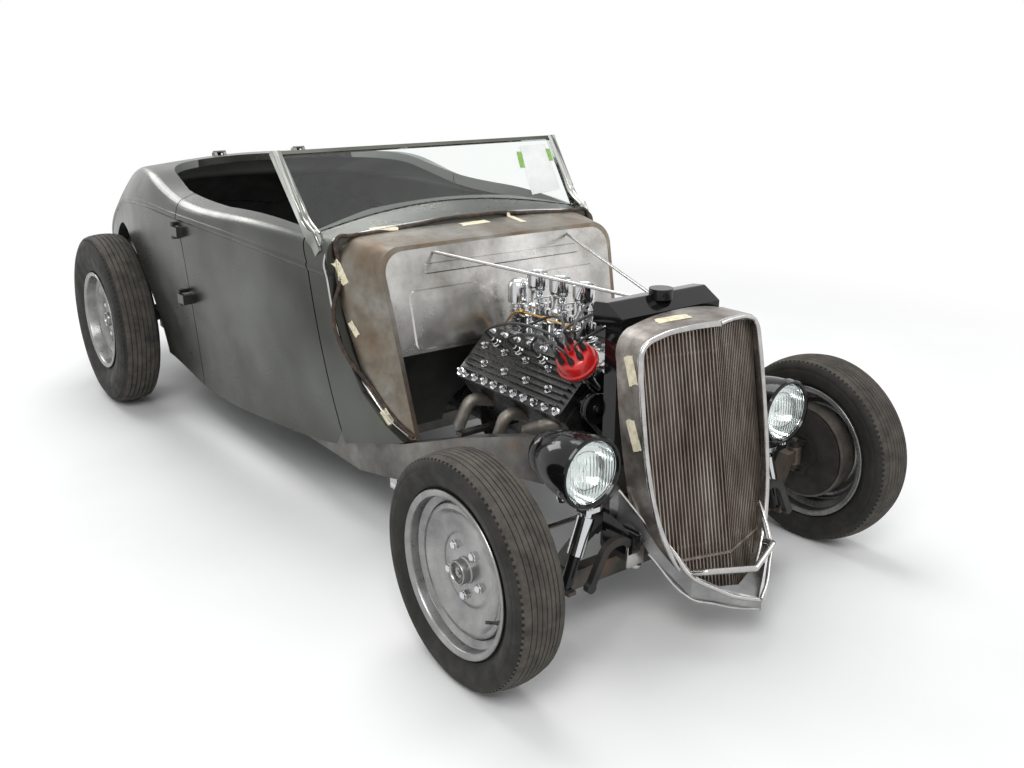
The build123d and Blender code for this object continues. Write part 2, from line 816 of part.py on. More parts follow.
for side, word in SIDES:
    with BuildPart() as door:
        add(door_pair.part.solids().sort_by(Axis.X)[-1 if side > 0 else 0])
        for z in HINGE_Z:
            add(door_leaf(side, z))
    save(door, f"door_{word}")

# Firewall panel, with its pressed panels standing proud
with BuildPart() as firewall:
    add(nose_solid(FLANGE_SHEET + PIN_CLEARANCE))
    with BuildSketch(firewall_plane):
        with Locations((0, 200 * rise)):
            Rectangle(1200, 400 * rise)
    extrude(amount=-FIREWALL_SHEET, mode=Mode.INTERSECT)
    for x, v, width, height, corner in FIREWALL_PANELS:
        with BuildSketch(firewall_plane):
            with Locations((x, v)):
                RectangleRounded(width, height, corner)
        extrude(amount=PRESSING_RISE, taper=30)
save(firewall, "firewall")


# Windshield: two posts, a thin header and the glass between them
post_lean = degrees(atan2(POST_TOP[1] - POST_BASE[1], POST_TOP[2] - POST_BASE[2]))
screen_plane = leaning(POST_BASE[1], POST_BASE[2], post_lean)
post_rise = hypot(POST_TOP[1] - POST_BASE[1], POST_TOP[2] - POST_BASE[2])


def post_point(up, forward):
    """Point of the posts' side view, up along their lean and forward of it."""
    lean = radians(post_lean)
    return (POST_BASE[1] + up * sin(lean) - forward * cos(lean),
            POST_BASE[2] + up * cos(lean) + forward * sin(lean))


# Side view of a post: straight above, with a toe that curves forward over the cowl
with BuildPart() as post_side:
    with BuildSketch(along(0)):
        with BuildLine():
            Polyline(post_point(POST_TOE_H, POST_D / 2), post_point(post_rise, POST_D / 2),
                     post_point(post_rise, -POST_D / 2), post_point(-70, -POST_D / 2), post_point(-70,
                                                                                                  POST_D / 2 + POST_TOE))
            Line(post_point(-70, POST_D / 2 + POST_TOE), post_point(0, POST_D / 2 + POST_TOE))
            ThreePointArc(post_point(0, POST_D / 2 + POST_TOE), post_point(POST_TOE_H * 0.34,
                          POST_D / 2 + POST_TOE * 0.3),
                          post_point(POST_TOE_H, POST_D / 2))
        make_face()
    extrude(amount=700, both=True)

with BuildPart() as windshield_frame:
    for side in (1, -1):
        with BuildSketch(screen_plane):
            with BuildLine():
                Polyline((side * (POST_BASE[0] + POST_W / 2), -70), (side * (POST_TOP[0] + POST_W / 2),
                                                                     post_rise),
                         (side * (POST_TOP[0] - POST_W / 2), post_rise),
                         (side * (POST_BASE[0] - POST_W / 2), -70),
                         close=True)
            make_face()
        extrude(amount=2 * POST_TOE + POST_D, both=True)
    add(post_side.part, mode=Mode.INTERSECT)
    with BuildSketch(screen_plane):
        with Locations((0, post_rise - HEADER_R)):
            Rectangle(2 * POST_TOP[0], 2 * HEADER_R)
    extrude(amount=HEADER_R, both=True)
    add(body_outer.part, mode=Mode.SUBTRACT)
save(windshield_frame, "windshield_frame")

with BuildPart() as windshield_glass:
    with BuildSketch(screen_plane):
        with BuildLine():
            low_x = POST_BASE[0] - POST_W / 2 - PIN_CLEARANCE
            high_x = low_x + (POST_TOP[0] - POST_BASE[0]) * (post_rise - 2 * HEADER_R + 70) / (post_rise + 70) - 0.1
            high_v = post_rise - 2 * HEADER_R - PIN_CLEARANCE
            Polyline((low_x, -70), (high_x, high_v), (-high_x, high_v), (-low_x, -70), close=True)
        make_face()
    extrude(amount=GLASS_T / 2, both=True)
    add(body_outer.part, mode=Mode.SUBTRACT)
save(windshield_glass, "windshield_glass")

# Floor pan: toe board, floor, heel and trunk floor with the driveshaft tunnel
floor_under = [(y, z - FLOOR_SHEET) for y, z in FLOOR_LINE]
with BuildPart() as floor_pan:
    with BuildSketch(across(866)):
        with Locations((0, TUNNEL_Z)):
            Circle(TUNNEL_R)
    extrude(amount=-1640)
    add(side_prism([*FLOOR_LINE, *reversed(floor_under)], FLOOR_HALF_W))
    with BuildSketch(across(700)):
        with Locations((0, TUNNEL_Z)):
            Circle(TUNNEL_R - FLOOR_SHEET)
    extrude(amount=-1850, mode=Mode.SUBTRACT)
    add(side_prism([(700, 900), (806, 640), *floor_under[1:], (3300, 900)], 500), mode=Mode.INTERSECT)
    add(cowl.part, mode=Mode.SUBTRACT)
save(floor_pan, "floor_pan")

# Grille shell: a shield outline, cut to a front that is V-shaped in plan and leans back


def shield(inset):
    """Front outline of the grille shell, set in by inset."""
    with BuildSketch(across(-600)) as outline:
        with BuildLine():
            ThreePointArc((0, 112), (98, 146), (168, 216))
            ThreePointArc((168, 216), (213, 318), (236, 430))
            ThreePointArc((236, 430), (244, 600), (238, 780))
            ThreePointArc((238, 780), (224, 838), (172, 866))
            ThreePointArc((172, 866), (88, 880), (0, 884))
            mirror(about=Plane.YZ)
        make_face()
        if inset:
            offset(amount=-inset, mode=Mode.REPLACE)
    return outline.sketch


def shield_block(inset):
    with BuildPart() as block:
        extrude(shield(inset), amount=-1200)
    return block.part


def nose_wedge(front, back):
    """Wedge behind the V front, set back by front, and ahead of the leaning back line."""
    slope = SHELL_LEAN_DY / SHELL_LEAN_DZ
    base = 100
    apex = SHELL_NOSE + front - (SHELL_NOSE_Z - base) * slope
    rear = back - (SHELL_NOSE_Z - base) * slope
    with BuildPart() as wedge:
        with BuildSketch(level(base)):
            with BuildLine():
                Polyline((0, apex), (400, apex + 400 * SHELL_V), (400, max(rear, apex + 400 * SHELL_V) + 1),
                         (-400, max(rear, apex + 400 * SHELL_V) + 1), (-400, apex + 400 * SHELL_V),
                         close=True)
            make_face()
        extrude(amount=900, dir=(0, slope, 1))
    return wedge.part


def leaning_slab(front, thickness):
    """V-shaped slab behind the V front, set back by front."""
    slope = SHELL_LEAN_DY / SHELL_LEAN_DZ
    base = 100
    apex = SHELL_NOSE + front - (SHELL_NOSE_Z - base) * slope
    with BuildPart() as slab:
        with BuildSketch(level(base)):
            with BuildLine():
                Polyline((0, apex), (400, apex + 400 * SHELL_V), (400, apex + 400 * SHELL_V + thickness),
                         (0, apex + thickness), (-400, apex + 400 * SHELL_V + thickness),
                         (-400, apex + 400 * SHELL_V), close=True)
            make_face()
        extrude(amount=900, dir=(0, slope, 1))
    return slab.part


with BuildPart() as shell_inside:
    add(shield_block(SHELL_SHEET))
    add(nose_wedge(SHELL_SHEET * 2, SHELL_BACK + 300), mode=Mode.INTERSECT)

with BuildPart() as grille_shell:
    add(shield_block(0))
    add(nose_wedge(0, SHELL_BACK), mode=Mode.INTERSECT)
    add(shell_inside.part, mode=Mode.SUBTRACT)
    add(shield_block(SHELL_BEZEL), mode=Mode.SUBTRACT)
    with BuildSketch(along(0)):
        with BuildLine():
            slope = SHELL_LEAN_DY / SHELL_LEAN_DZ
            Polyline((SHELL_BACK, SHELL_NOSE_Z + 60), (SHELL_BACK - 700 * slope, SHELL_NOSE_Z - 700),
                     (600, SHELL_NOSE_Z - 700), (600, SHELL_NOSE_Z + 60), close=True)
        make_face()
    extrude(amount=500, both=True, mode=Mode.SUBTRACT)
save(grille_shell, "grille_shell")

# Grille: upright blades in the V, tied by a band at mid height and two behind
with BuildPart() as blades:
    with BuildSketch(across(-600)):
        with Locations((0, 560)):
            with GridLocations(BLADE_PITCH, 1, BLADE_COUNT, 1):
                Rectangle(BLADE_T, 900)
    extrude(amount=-1200)
    add(leaning_slab(BLADE_BACK, BLADE_D), mode=Mode.INTERSECT)

# Level ties: one as deep as the blades, and two behind them
with BuildPart() as full_tie:
    with BuildSketch(along(-400)):
        with Locations((-200, TIE_Z)):
            Rectangle(800, TIE_H)
    extrude(amount=800)
    add(leaning_slab(BLADE_BACK, BLADE_D), mode=Mode.INTERSECT)

with BuildPart() as rear_ties:
    with BuildSketch(along(-400)):
        for z in REAR_TIES_Z:
            with Locations((-200, z)):
                Rectangle(800, TIE_H)
    extrude(amount=800)
    add(leaning_slab(BLADE_BACK + BLADE_D / 2, BLADE_D / 2), mode=Mode.INTERSECT)

with BuildPart() as grille_bars:
    add(blades.part)
    add(full_tie.part)
    add(rear_ties.part)
    add(shield_block(SHELL_SHEET + PIN_CLEARANCE), mode=Mode.INTERSECT)
save(grille_bars, "grille_bars")


# Front apron: two flanks that meet in a V below the grille, with a pan between them


def apron_plan(inset):
    """Plan of the apron, set in by inset."""
    right = [(x - inset, y + inset * 0.8 if x == 0 else y) for x, y in APRON_PLAN]
    right[0] = (0, APRON_PLAN[0][1] + inset * 1.3)
    with BuildSketch(level(0)) as plan:
        with BuildLine():
            Polyline(*right, (0, APRON_PLAN[-1][1]), close=True)
        make_face()
        mirror(about=Plane.YZ)
    return plan.sketch


with BuildPart() as flanks:
    extrude(apron_plan(0), amount=600)
    extrude(apron_plan(APRON_SHEET), amount=600, mode=Mode.SUBTRACT)

with BuildPart() as apron_pan:
    extrude(apron_plan(0), amount=600)
    add(side_prism(APRON_PAN, 400), mode=Mode.INTERSECT)

with BuildPart() as shell_space:
    add(shield_block(-PIN_CLEARANCE))
    add(nose_wedge(-PIN_CLEARANCE, 400), mode=Mode.INTERSECT)

with BuildPart() as front_apron:
    add(side_prism(APRON_SIDE, 400))
    add(flanks.part, mode=Mode.INTERSECT)
    add(apron_pan.part)
    add(shell_space.part, mode=Mode.SUBTRACT)
save(front_apron, "front_apron")

# Guard bar across the apron, bent to the same V
with BuildPart() as guard_bar:
    with BuildLine() as guard_line:
        FilletPolyline(at(-158, -244, 226), at(-136, -290, 243), at(0, -343, 232), at(136, -290, 243),
                       at(158, -244, 226), radius=14)
    with BuildSketch(Plane(guard_line.line @ 0, z_dir=guard_line.line % 0)):
        Circle(GUARD_R)
    sweep(path=guard_line.line)
    add(front_apron.part, mode=Mode.SUBTRACT)
save(guard_bar, "guard_bar")

# Radiator: core, top tank and filler neck
with BuildPart() as radiator:
    with BuildSketch(across(RAD_BACK)):
        with Locations((0, (RAD_FOOT + RAD_SHOULDER) / 2)):
            Rectangle(2 * RAD_HALF_W, RAD_SHOULDER - RAD_FOOT)
    extrude(amount=RAD_CORE_T)
    with BuildSketch(along(-190)):
        with BuildLine():
            Polyline((RAD_BACK - RAD_CORE_T, 850), (RAD_BACK - RAD_CORE_T, 880), (RAD_BACK + 10, RAD_TOP),
                     (RAD_BACK + 66, RAD_TOP - 6), (RAD_BACK + 66, 850), close=True)
        tank = make_face()
        fillet(tank.vertices().filter_by(lambda v: v.Y > 900), 14)
    extrude(amount=380)
    with BuildSketch(level(RAD_TOP - 12)):
        with Locations((0, 60)):
            Circle(34)
    extrude(amount=30)
save(radiator, "radiator")

# Rods from the firewall to the radiator
with BuildPart() as support_rods:
    for side in (1, -1):
        start = at(side * 279, ROD_START[0], ROD_START[1])
        end = at(side * 30, RAD_BACK + 63, 897)
        with BuildSketch(Plane(start, z_dir=end - start)):
            Circle(ROD_R)
        extrude(amount=(end - start).length)
    add(firewall.part, mode=Mode.SUBTRACT)
    add(radiator.part, mode=Mode.SUBTRACT)
save(support_rods, "support_rods")


# Engine: V block with its pan, bell housing and gearbox
diagonal = sin(pi / 4)


def bank_point(along_bore, across_bore, side=1):
    """Point of the V at a distance from the crank along a bank's bores and across them."""
    return (side * (along_bore + across_bore) * diagonal, CRANK_Z + (along_bore - across_bore) * diagonal)


engine_back = ENGINE_FRONT + BLOCK_LENGTH
with BuildPart() as engine_block:
    with BuildSketch(across(ENGINE_FRONT)):
        with BuildLine():
            deck_out = bank_point(DECK_HEIGHT, DECK_SHIFT)
            deck_in = bank_point(DECK_HEIGHT, -DECK_SHIFT)
            Polyline((PAN_HALF_W, CRANK_Z - 60), deck_out, deck_in, (78, 640), (-78, 640), (-deck_in[0],
                     deck_in[1]),
                     (-deck_out[0], deck_out[1]), (-PAN_HALF_W, CRANK_Z - 60), close=True)
        make_face()
    extrude(amount=-BLOCK_LENGTH)
    with BuildSketch(level(CRANK_Z - 60)):
        with Locations((0, (ENGINE_FRONT + engine_back) / 2)):
            Rectangle(2 * PAN_HALF_W, BLOCK_LENGTH - 20)
    extrude(amount=-PAN_DEPTH + 60, taper=8)
    with BuildSketch(across(engine_back)):
        with Locations((0, CRANK_Z - 20)):
            Circle(BELL_R)
    with BuildSketch(across(engine_back + 170)):
        with Locations((0, CRANK_Z - 50)):
            Circle(72)
    loft()
    with BuildSketch(across(engine_back + 165)):
        with Locations((0, CRANK_Z - 50)):
            RectangleRounded(130, 150, 30)
    extrude(amount=-(GEARBOX_BACK - engine_back - 165))
    # Mounts: two arms over the rails and a pad on the gearbox crossmember
    for side in (1, -1):
        with BuildSketch(level(rail_top_at(MOUNT_Y - 15) + PIN_CLEARANCE)):
            with Locations((side * 290, MOUNT_Y)):
                Rectangle(220, 30)
        extrude(amount=12)
    with BuildSketch(level(CROSSMEMBERS[1][1] + CROSSMEMBERS[1][4] / 2 + PIN_CLEARANCE)):
        with Locations((0, CROSSMEMBERS[1][0])):
            Rectangle(90, 70)
    extrude(amount=70)
save(engine_block, "engine_block")

# Cylinder heads: a slab on each deck with cooling fins along it
with BuildPart() as cylinder_heads:
    for side in (1, -1):
        base = bank_point(DECK_HEIGHT, 0, side)
        deck_plane = Plane(origin=at(base[0], ENGINE_FRONT + BLOCK_LENGTH / 2, base[1]), x_dir=(0, 1, 0),
                           z_dir=(side * diagonal, 0, diagonal))
        with BuildSketch(deck_plane):
            RectangleRounded(BLOCK_LENGTH - 6, HEAD_W, 22)
        extrude(amount=HEAD_T - FIN_H)
        with BuildSketch(deck_plane.offset(HEAD_T - FIN_H)):
            with GridLocations(1, FIN_PITCH, 1, 8):
                Rectangle(BLOCK_LENGTH - 50, FIN_T)
        extrude(amount=FIN_H)
save(cylinder_heads, "cylinder_heads")

# Intake manifold with three carburettors in line and the breather behind them
with BuildPart() as intake:
    with BuildSketch(level(640)):
        with Locations((0, CARB_FRONT + CARB_PITCH)):
            RectangleRounded(150, 430, 30)
    extrude(amount=MANIFOLD_TOP - 640)
    for index in range(3):
        y = CARB_FRONT + index * CARB_PITCH
        with BuildSketch(level(MANIFOLD_TOP)):
            with Locations((0, y)):
                RectangleRounded(84, 62, 10)
        extrude(amount=40)
        with BuildSketch(along(0)):
            with BuildLine():
                Polyline((y, MANIFOLD_TOP + 38), (y + 32, MANIFOLD_TOP + 38), (y + 32, MANIFOLD_TOP + 96),
                         (y + 24, MANIFOLD_TOP + 106), (y + 24, MANIFOLD_TOP + 150), (y + 34,
                                                                                      MANIFOLD_TOP + 160),
                         (y + 34, CARB_TOP), (y + 28, CARB_TOP), (y + 28, MANIFOLD_TOP + 176), (y,
                                                                                                MANIFOLD_TOP + 176),
                         close=True)
            make_face()
        revolve(axis=Axis(at(0, y, 0), (0, 0, 1)))
        with BuildSketch(level(MANIFOLD_TOP + 44)):
            with Locations((-38, y)):
                RectangleRounded(44, 50, 10)
        extrude(amount=46)
    # Ribbed breather on the back of the block
    with BuildSketch(Plane(origin=at(BREATHER_X, 0, 0), x_dir=(0, 1, 0), z_dir=(1, 0, 0))):
        with BuildLine():
            y = BREATHER_Y
            Polyline((y, BREATHER_FOOT), (y + 24, BREATHER_FOOT), (y + 24, 676))
            for index in range(6):
                low = 676 + index * 16
                Polyline((y + 24, low), (y + 31, low + 8), (y + 24, low + 16))
            Polyline((y + 24, 772), (y + 34, 784), (y + 34, 832), (y + 28, 848), (y + 14, 856), (y, 856),
                     (y, BREATHER_FOOT))
        make_face()
    revolve(axis=Axis(at(BREATHER_X, y, 0), (0, 0, 1)))
    add(engine_block.part, mode=Mode.SUBTRACT)
save(intake, "intake")

# Exhaust stubs, three to a side, each leaving the block and turning down
with BuildPart() as exhaust_pipes:
    for side in (1, -1):
        for y, bend_x, bend_z, mouth_x, mouth_y, mouth_z in EXHAUST_STUBS:
            with BuildLine() as pipe_line:
                FilletPolyline(at(side * 180, y, bend_z - 24), at(side * bend_x, y, bend_z),
                               at(side * mouth_x, mouth_y, mouth_z), radius=30)
            with BuildSketch(Plane(pipe_line.line @ 0, z_dir=pipe_line.line % 0)):
                Circle(EXHAUST_R)
            sweep(path=pipe_line.line)
    add(engine_block.part, mode=Mode.SUBTRACT)
save(exhaust_pipes, "exhaust_pipes")

# Distributor on its stem
with BuildPart() as distributor:
    foot = at(-118, 142, 600)
    tip = at(-247, 112, 752)
    stem_dir = tip - foot
    with BuildSketch(Plane(foot, z_dir=stem_dir)):
        Circle(19)
    extrude(amount=stem_dir.length - 40)
    with BuildSketch(Plane(foot + stem_dir.normalized() * (stem_dir.length - 42), z_dir=stem_dir)):
        Circle(40)
    extrude(amount=14)
    with BuildSketch(Plane(foot + stem_dir.normalized() * (stem_dir.length - 28), z_dir=stem_dir)):
        Circle(52)
    extrude(amount=38, taper=8)
    add(engine_block.part, mode=Mode.SUBTRACT)
save(distributor, "distributor")

# Pulleys, belt and generator at the front of the engine
with BuildPart() as front_drive:
    for x, z, radius in PULLEYS:
        with BuildSketch(across(PULLEY_FRONT)):
            with Locations((x, z)):
                Circle(radius)
        extrude(amount=-26)
        with BuildSketch(across(PULLEY_FRONT + 26)):
            with Locations((x, z)):
                Circle(radius * 0.42)
        extrude(amount=-(ENGINE_FRONT - PULLEY_FRONT - 26))
    with BuildSketch(across(ENGINE_FRONT)):
        with Locations((0, 500)):
            Rectangle(200, 220)
    extrude(amount=18)
    with BuildSketch(across(ENGINE_FRONT)):
        with BuildLine():
            Polyline((-100, 470), (-80, 600), (-190, 640), (-225, 590), (-120, 470), close=True)
        make_face()
        with BuildLine():
            Polyline((60, 460), (60, 560), (150, 575), (200, 520), (150, 465), close=True)
        make_face()
    extrude(amount=14)
    add(distributor.part, mode=Mode.SUBTRACT)
save(front_drive, "front_drive")

# Rear axle with its driveshaft, spring and fuel tank
with BuildPart() as rear_axle:
    with BuildSketch(along(-BACKING_X)):
        with Locations((WHEELBASE, REAR_TYRE_R)):
            Circle(TUBE_R)
    extrude(amount=2 * BACKING_X)
    for side in (1, -1):
        with BuildSketch(along(side * BACKING_X)):
            with Locations((WHEELBASE, REAR_TYRE_R)):
                Circle(DRUM_R)
        extrude(amount=-side * 5)
        with BuildSketch(along(side * BACKING_X)):
            with Locations((WHEELBASE, REAR_TYRE_R)):
                Circle(HUB_BORE_R - PIN_CLEARANCE)
        extrude(amount=side * (REAR_TRACK / 2 + 20 - BACKING_X))
    with BuildSketch(along(0)):
        with Locations((WHEELBASE, REAR_TYRE_R)):
            Circle(128)
    extrude(amount=66, both=True, taper=20)
    shaft_start = at(0, GEARBOX_BACK + PIN_CLEARANCE, CRANK_Z - 50)
    with BuildSketch(Plane(shaft_start, z_dir=(0, 1, 0))):
        Circle(SHAFT_R + 10)
    extrude(amount=40)
    shaft_line = at(0, WHEELBASE - 100, REAR_TYRE_R) - at(0, GEARBOX_BACK + 20, CRANK_Z - 50)
    with BuildSketch(Plane(at(0, GEARBOX_BACK + 20, CRANK_Z - 50), z_dir=shaft_line)):
        Circle(SHAFT_R)
    extrude(amount=shaft_line.length)
    # Perches that carry the spring's ends behind the axle
    for side in (1, -1):
        with BuildSketch(along(side * (REAR_SPRING_HALF - 24))):
            with BuildLine():
                perch_top = REAR_SPRING_END - LEAF_T - PIN_CLEARANCE
                Polyline((WHEELBASE, REAR_TYRE_R - 20), (REAR_SPRING_Y + 20, perch_top - 22),
                         (REAR_SPRING_Y + 20, perch_top), (WHEELBASE, perch_top), close=True)
            make_face()
        extrude(amount=side * 22)
save(rear_axle, "rear_axle")

def leaf_pack(y, half_span, end_z, crown_z, leaves, step):
    """Transverse spring: arched leaves, each shorter than the one above."""
    sag = crown_z - end_z
    arch_r = (half_span ** 2 + sag ** 2) / (2 * sag)
    with BuildPart() as pack:
        for index in range(leaves):
            half = half_span - index * step
            end = crown_z - (arch_r - (arch_r ** 2 - half ** 2) ** 0.5) - index * LEAF_T
            top = crown_z - index * LEAF_T
            with BuildSketch(across(y - LEAF_W / 2)):
                with BuildLine():
                    ThreePointArc((-half, end), (0, top), (half, end))
                    Line((half, end), (half, end - LEAF_T))
                    ThreePointArc((half, end - LEAF_T), (0, top - LEAF_T), (-half, end - LEAF_T))
                    Line((-half, end - LEAF_T), (-half, end))
                make_face()
            extrude(amount=-LEAF_W)
    return pack


rear_spring = leaf_pack(REAR_SPRING_Y, REAR_SPRING_HALF, REAR_SPRING_END, 480 - PIN_CLEARANCE, 5, 74)
save(rear_spring, "rear_spring")

with BuildPart() as fuel_tank:
    with BuildSketch(level(TANK_Z)):
        with Locations((0, WHEELBASE + TANK_BEHIND_AXLE)):
            RectangleRounded(TANK_W, TANK_L, TANK_CORNER)
    extrude(amount=TANK_H)
save(fuel_tank, "fuel_tank")

# Front axle: a dropped beam with a kingpin at each end
with BuildPart() as front_axle:
    with BuildSketch(across(-BEAM_D / 2)):
        with BuildLine():
            under = [(440, BEAM_Z - BEAM_H / 2), (492, BEAM_Z - 14), (556, FRONT_TYRE_R - 22),
                     (KINGPIN_X, FRONT_TYRE_R - 22)]
            over = [(KINGPIN_X, FRONT_TYRE_R + 22), (536, FRONT_TYRE_R + 14), (470, BEAM_Z + BEAM_H / 2)]
            right = under + over
            Polyline(*right, *[(-x, z) for x, z in reversed(right)], close=True)
        make_face()
    extrude(amount=-BEAM_D)
    for side in (1, -1):
        with BuildSketch(level(FRONT_TYRE_R - BOSS_H / 2)):
            with Locations((side * KINGPIN_X, 0)):
                Circle(BOSS_R)
        extrude(amount=BOSS_H)
        with BuildSketch(level(FRONT_TYRE_R - 55)):
            with Locations((side * KINGPIN_X, 0)):
                Circle(KINGPIN_R)
        extrude(amount=110)
        # Spring perch, and the shock's lower bracket ahead of the beam
        with BuildSketch(level(BEAM_Z)):
            with Locations((side * (FRONT_SPRING_HALF - 8), 0)):
                Rectangle(24, 30)
        extrude(amount=FRONT_SPRING_END - LEAF_T - PIN_CLEARANCE - BEAM_Z)
        with BuildSketch(level(BEAM_Z + 8)):
            with Locations((side * 432, -50)):
                Rectangle(26, 80)
        extrude(amount=12)
save(front_axle, "front_axle")

front_spring = leaf_pack(SPRING_Y, FRONT_SPRING_HALF, FRONT_SPRING_END,
                         CROSSMEMBERS[0][1] - CROSSMEMBERS[0][4] / 2 - PIN_CLEARANCE, 6, 58)
save(front_spring, "front_spring")

# Knuckles: ears over and under the boss, spindle, backing plate and steering arm


def build_knuckle(side, name):
    with BuildPart() as knuckle:
        for low in (FRONT_TYRE_R + BOSS_H / 2 + PIN_CLEARANCE,
                    FRONT_TYRE_R - BOSS_H / 2 - PIN_CLEARANCE - EAR_T):
            with BuildSketch(level(low)):
                with Locations((side * KINGPIN_X, 0)):
                    Circle(EAR_R)
                with Locations((side * (KINGPIN_X + PLATE_X + PLATE_T) / 2, 0)):
                    Rectangle(PLATE_X + PLATE_T - KINGPIN_X, 2 * EAR_R)
            extrude(amount=EAR_T)
        with BuildSketch(along(side * PLATE_X)):
            with Locations((0, (ARM_Z + FRONT_TYRE_R + 45) / 2)):
                Rectangle(60, FRONT_TYRE_R + 45 - ARM_Z)
            with Locations((0, FRONT_TYRE_R)):
                Circle(60)
        extrude(amount=side * PLATE_T)
        with BuildSketch(along(side * BACKING_FACE)):
            with Locations((0, FRONT_TYRE_R)):
                Circle(DRUM_R - 4)
        extrude(amount=-side * BACKING_T)
        with BuildSketch(along(side * PLATE_X)):
            with Locations((0, FRONT_TYRE_R)):
                Circle(SPINDLE_R)
        extrude(amount=side * (FRONT_TRACK / 2 + 25 - PLATE_X))
        with BuildSketch(level(ARM_Z)):
            with BuildLine():
                Polyline((side * PLATE_X, -24), (side * (PLATE_X + PLATE_T), -24),
                         (side * (PLATE_X + PLATE_T), 40),
                         (side * (KINGPIN_X + 14), ARM_REACH), (side * (KINGPIN_X - 14), ARM_REACH),
                         (side * (PLATE_X - 12), 30), close=True)
            make_face()
            with Locations((side * KINGPIN_X, ARM_REACH)):
                Circle(TIE_EYE_R)
        extrude(amount=ARM_T)
        with BuildSketch(level(ARM_Z + ARM_T)):
            with Locations((side * KINGPIN_X, ARM_REACH)):
                Circle(TIE_PIN_R)
        extrude(amount=TIE_EYE_H + 6)
        with BuildSketch(level(0)):
            with Locations((side * KINGPIN_X, 0)):
                Circle(KINGPIN_R + PIN_CLEARANCE)
        extrude(amount=600, mode=Mode.SUBTRACT)
    save(knuckle, name)


for side, word in SIDES:
    build_knuckle(side, f"knuckle_{word}")

# Tie rod between the steering arms; its right eye is loose on its pin
with BuildPart() as tie_rod:
    with BuildSketch(Plane(at(-KINGPIN_X, ARM_REACH, TIE_Z + TIE_EYE_H / 2), z_dir=(1, 0, 0))):
        Circle(TIE_R)
    extrude(amount=2 * KINGPIN_X)
    for side, play in ((1, PIN_CLEARANCE), (-1, TIE_SLACK)):
        with BuildSketch(level(TIE_Z)):
            with Locations((side * KINGPIN_X, ARM_REACH)):
                Circle(TIE_EYE_R)
        extrude(amount=TIE_EYE_H)
        with BuildSketch(level(TIE_Z - 10)):
            with Locations((side * KINGPIN_X, ARM_REACH)):
                Circle(TIE_PIN_R + play)
        extrude(amount=TIE_EYE_H + 20, mode=Mode.SUBTRACT)
save(tie_rod, "tie_rod")

# Radius rods from the axle back to brackets under the rails
with BuildPart() as radius_rods:
    for side in (1, -1):
        start = at(side * 400, BEAM_D / 2 - 12, BEAM_Z)
        end = at(side * 452, 800, 196)
        with BuildSketch(Plane(start, z_dir=end - start)):
            Circle(RADIUS_ROD_R)
        extrude(amount=(end - start).length)
        with BuildSketch(along(side * 440)):
            with Locations((786, 220)):
                Rectangle(44, 70)
        extrude(amount=side * 24)
    add(frame.part, mode=Mode.SUBTRACT)
    add(front_axle.part, mode=Mode.SUBTRACT)
save(radius_rods, "radius_rods")

# Headlamps: bowls on bent stands, each with a domed lens behind its rim
lamp_lip = LAMP_FRONT + 6
lamp_back = LAMP_FRONT + LAMP_LENGTH
bowl_centre = lamp_back - BOWL_END_R
neck_y = LAMP_FRONT + 24


def lamp_plane(side):
    """Upright plane through a lamp's axis; its axes are Y from the front axle and the radius."""
    return Plane(origin=at(side * LAMP_X, 0, LAMP_Z), x_dir=(0, 1, 0), z_dir=(1, 0, 0))


def lamp_axis(side):
    return Axis(at(side * LAMP_X, 0, LAMP_Z), (0, 1, 0))


with BuildPart() as headlamp_buckets:
    for side in (1, -1):
        with BuildSketch(lamp_plane(side)):
            with BuildLine():
                inner_end = BOWL_END_R - BOWL_T
                inner_neck = BOWL_NECK_R - BOWL_T
                Polyline((lamp_lip, LENS_R), (LAMP_FRONT, LENS_R + 4), (LAMP_FRONT, LAMP_R - 4),
                         (LAMP_FRONT + 5, LAMP_R), (neck_y - 2, LAMP_R), (neck_y, BOWL_NECK_R))
                ThreePointArc((neck_y, BOWL_NECK_R),
                              ((neck_y + bowl_centre) / 2, (BOWL_NECK_R + BOWL_END_R) / 2 + BOWL_BULGE),
                              (bowl_centre, BOWL_END_R))
                ThreePointArc((bowl_centre, BOWL_END_R),
                              (bowl_centre + BOWL_END_R * sin(pi / 4), BOWL_END_R * cos(pi / 4)),
                              (lamp_back, 0))
                Line((lamp_back, 0), (lamp_back - BOWL_T, 0))
                ThreePointArc((lamp_back - BOWL_T, 0),
                              (bowl_centre + inner_end * sin(pi / 4), inner_end * cos(pi / 4)),
                              (bowl_centre, inner_end))
                ThreePointArc((bowl_centre, inner_end), ((neck_y + bowl_centre) / 2,
                                                         (inner_neck + inner_end) / 2 + BOWL_BULGE),
                              (neck_y, inner_neck))
                Polyline((neck_y, inner_neck), (lamp_lip + BOWL_T, inner_neck), (lamp_lip + BOWL_T, LENS_R),
                         (lamp_lip, LENS_R))
            make_face()
        revolve(axis=lamp_axis(side))
save(headlamp_buckets, "headlamp_buckets")

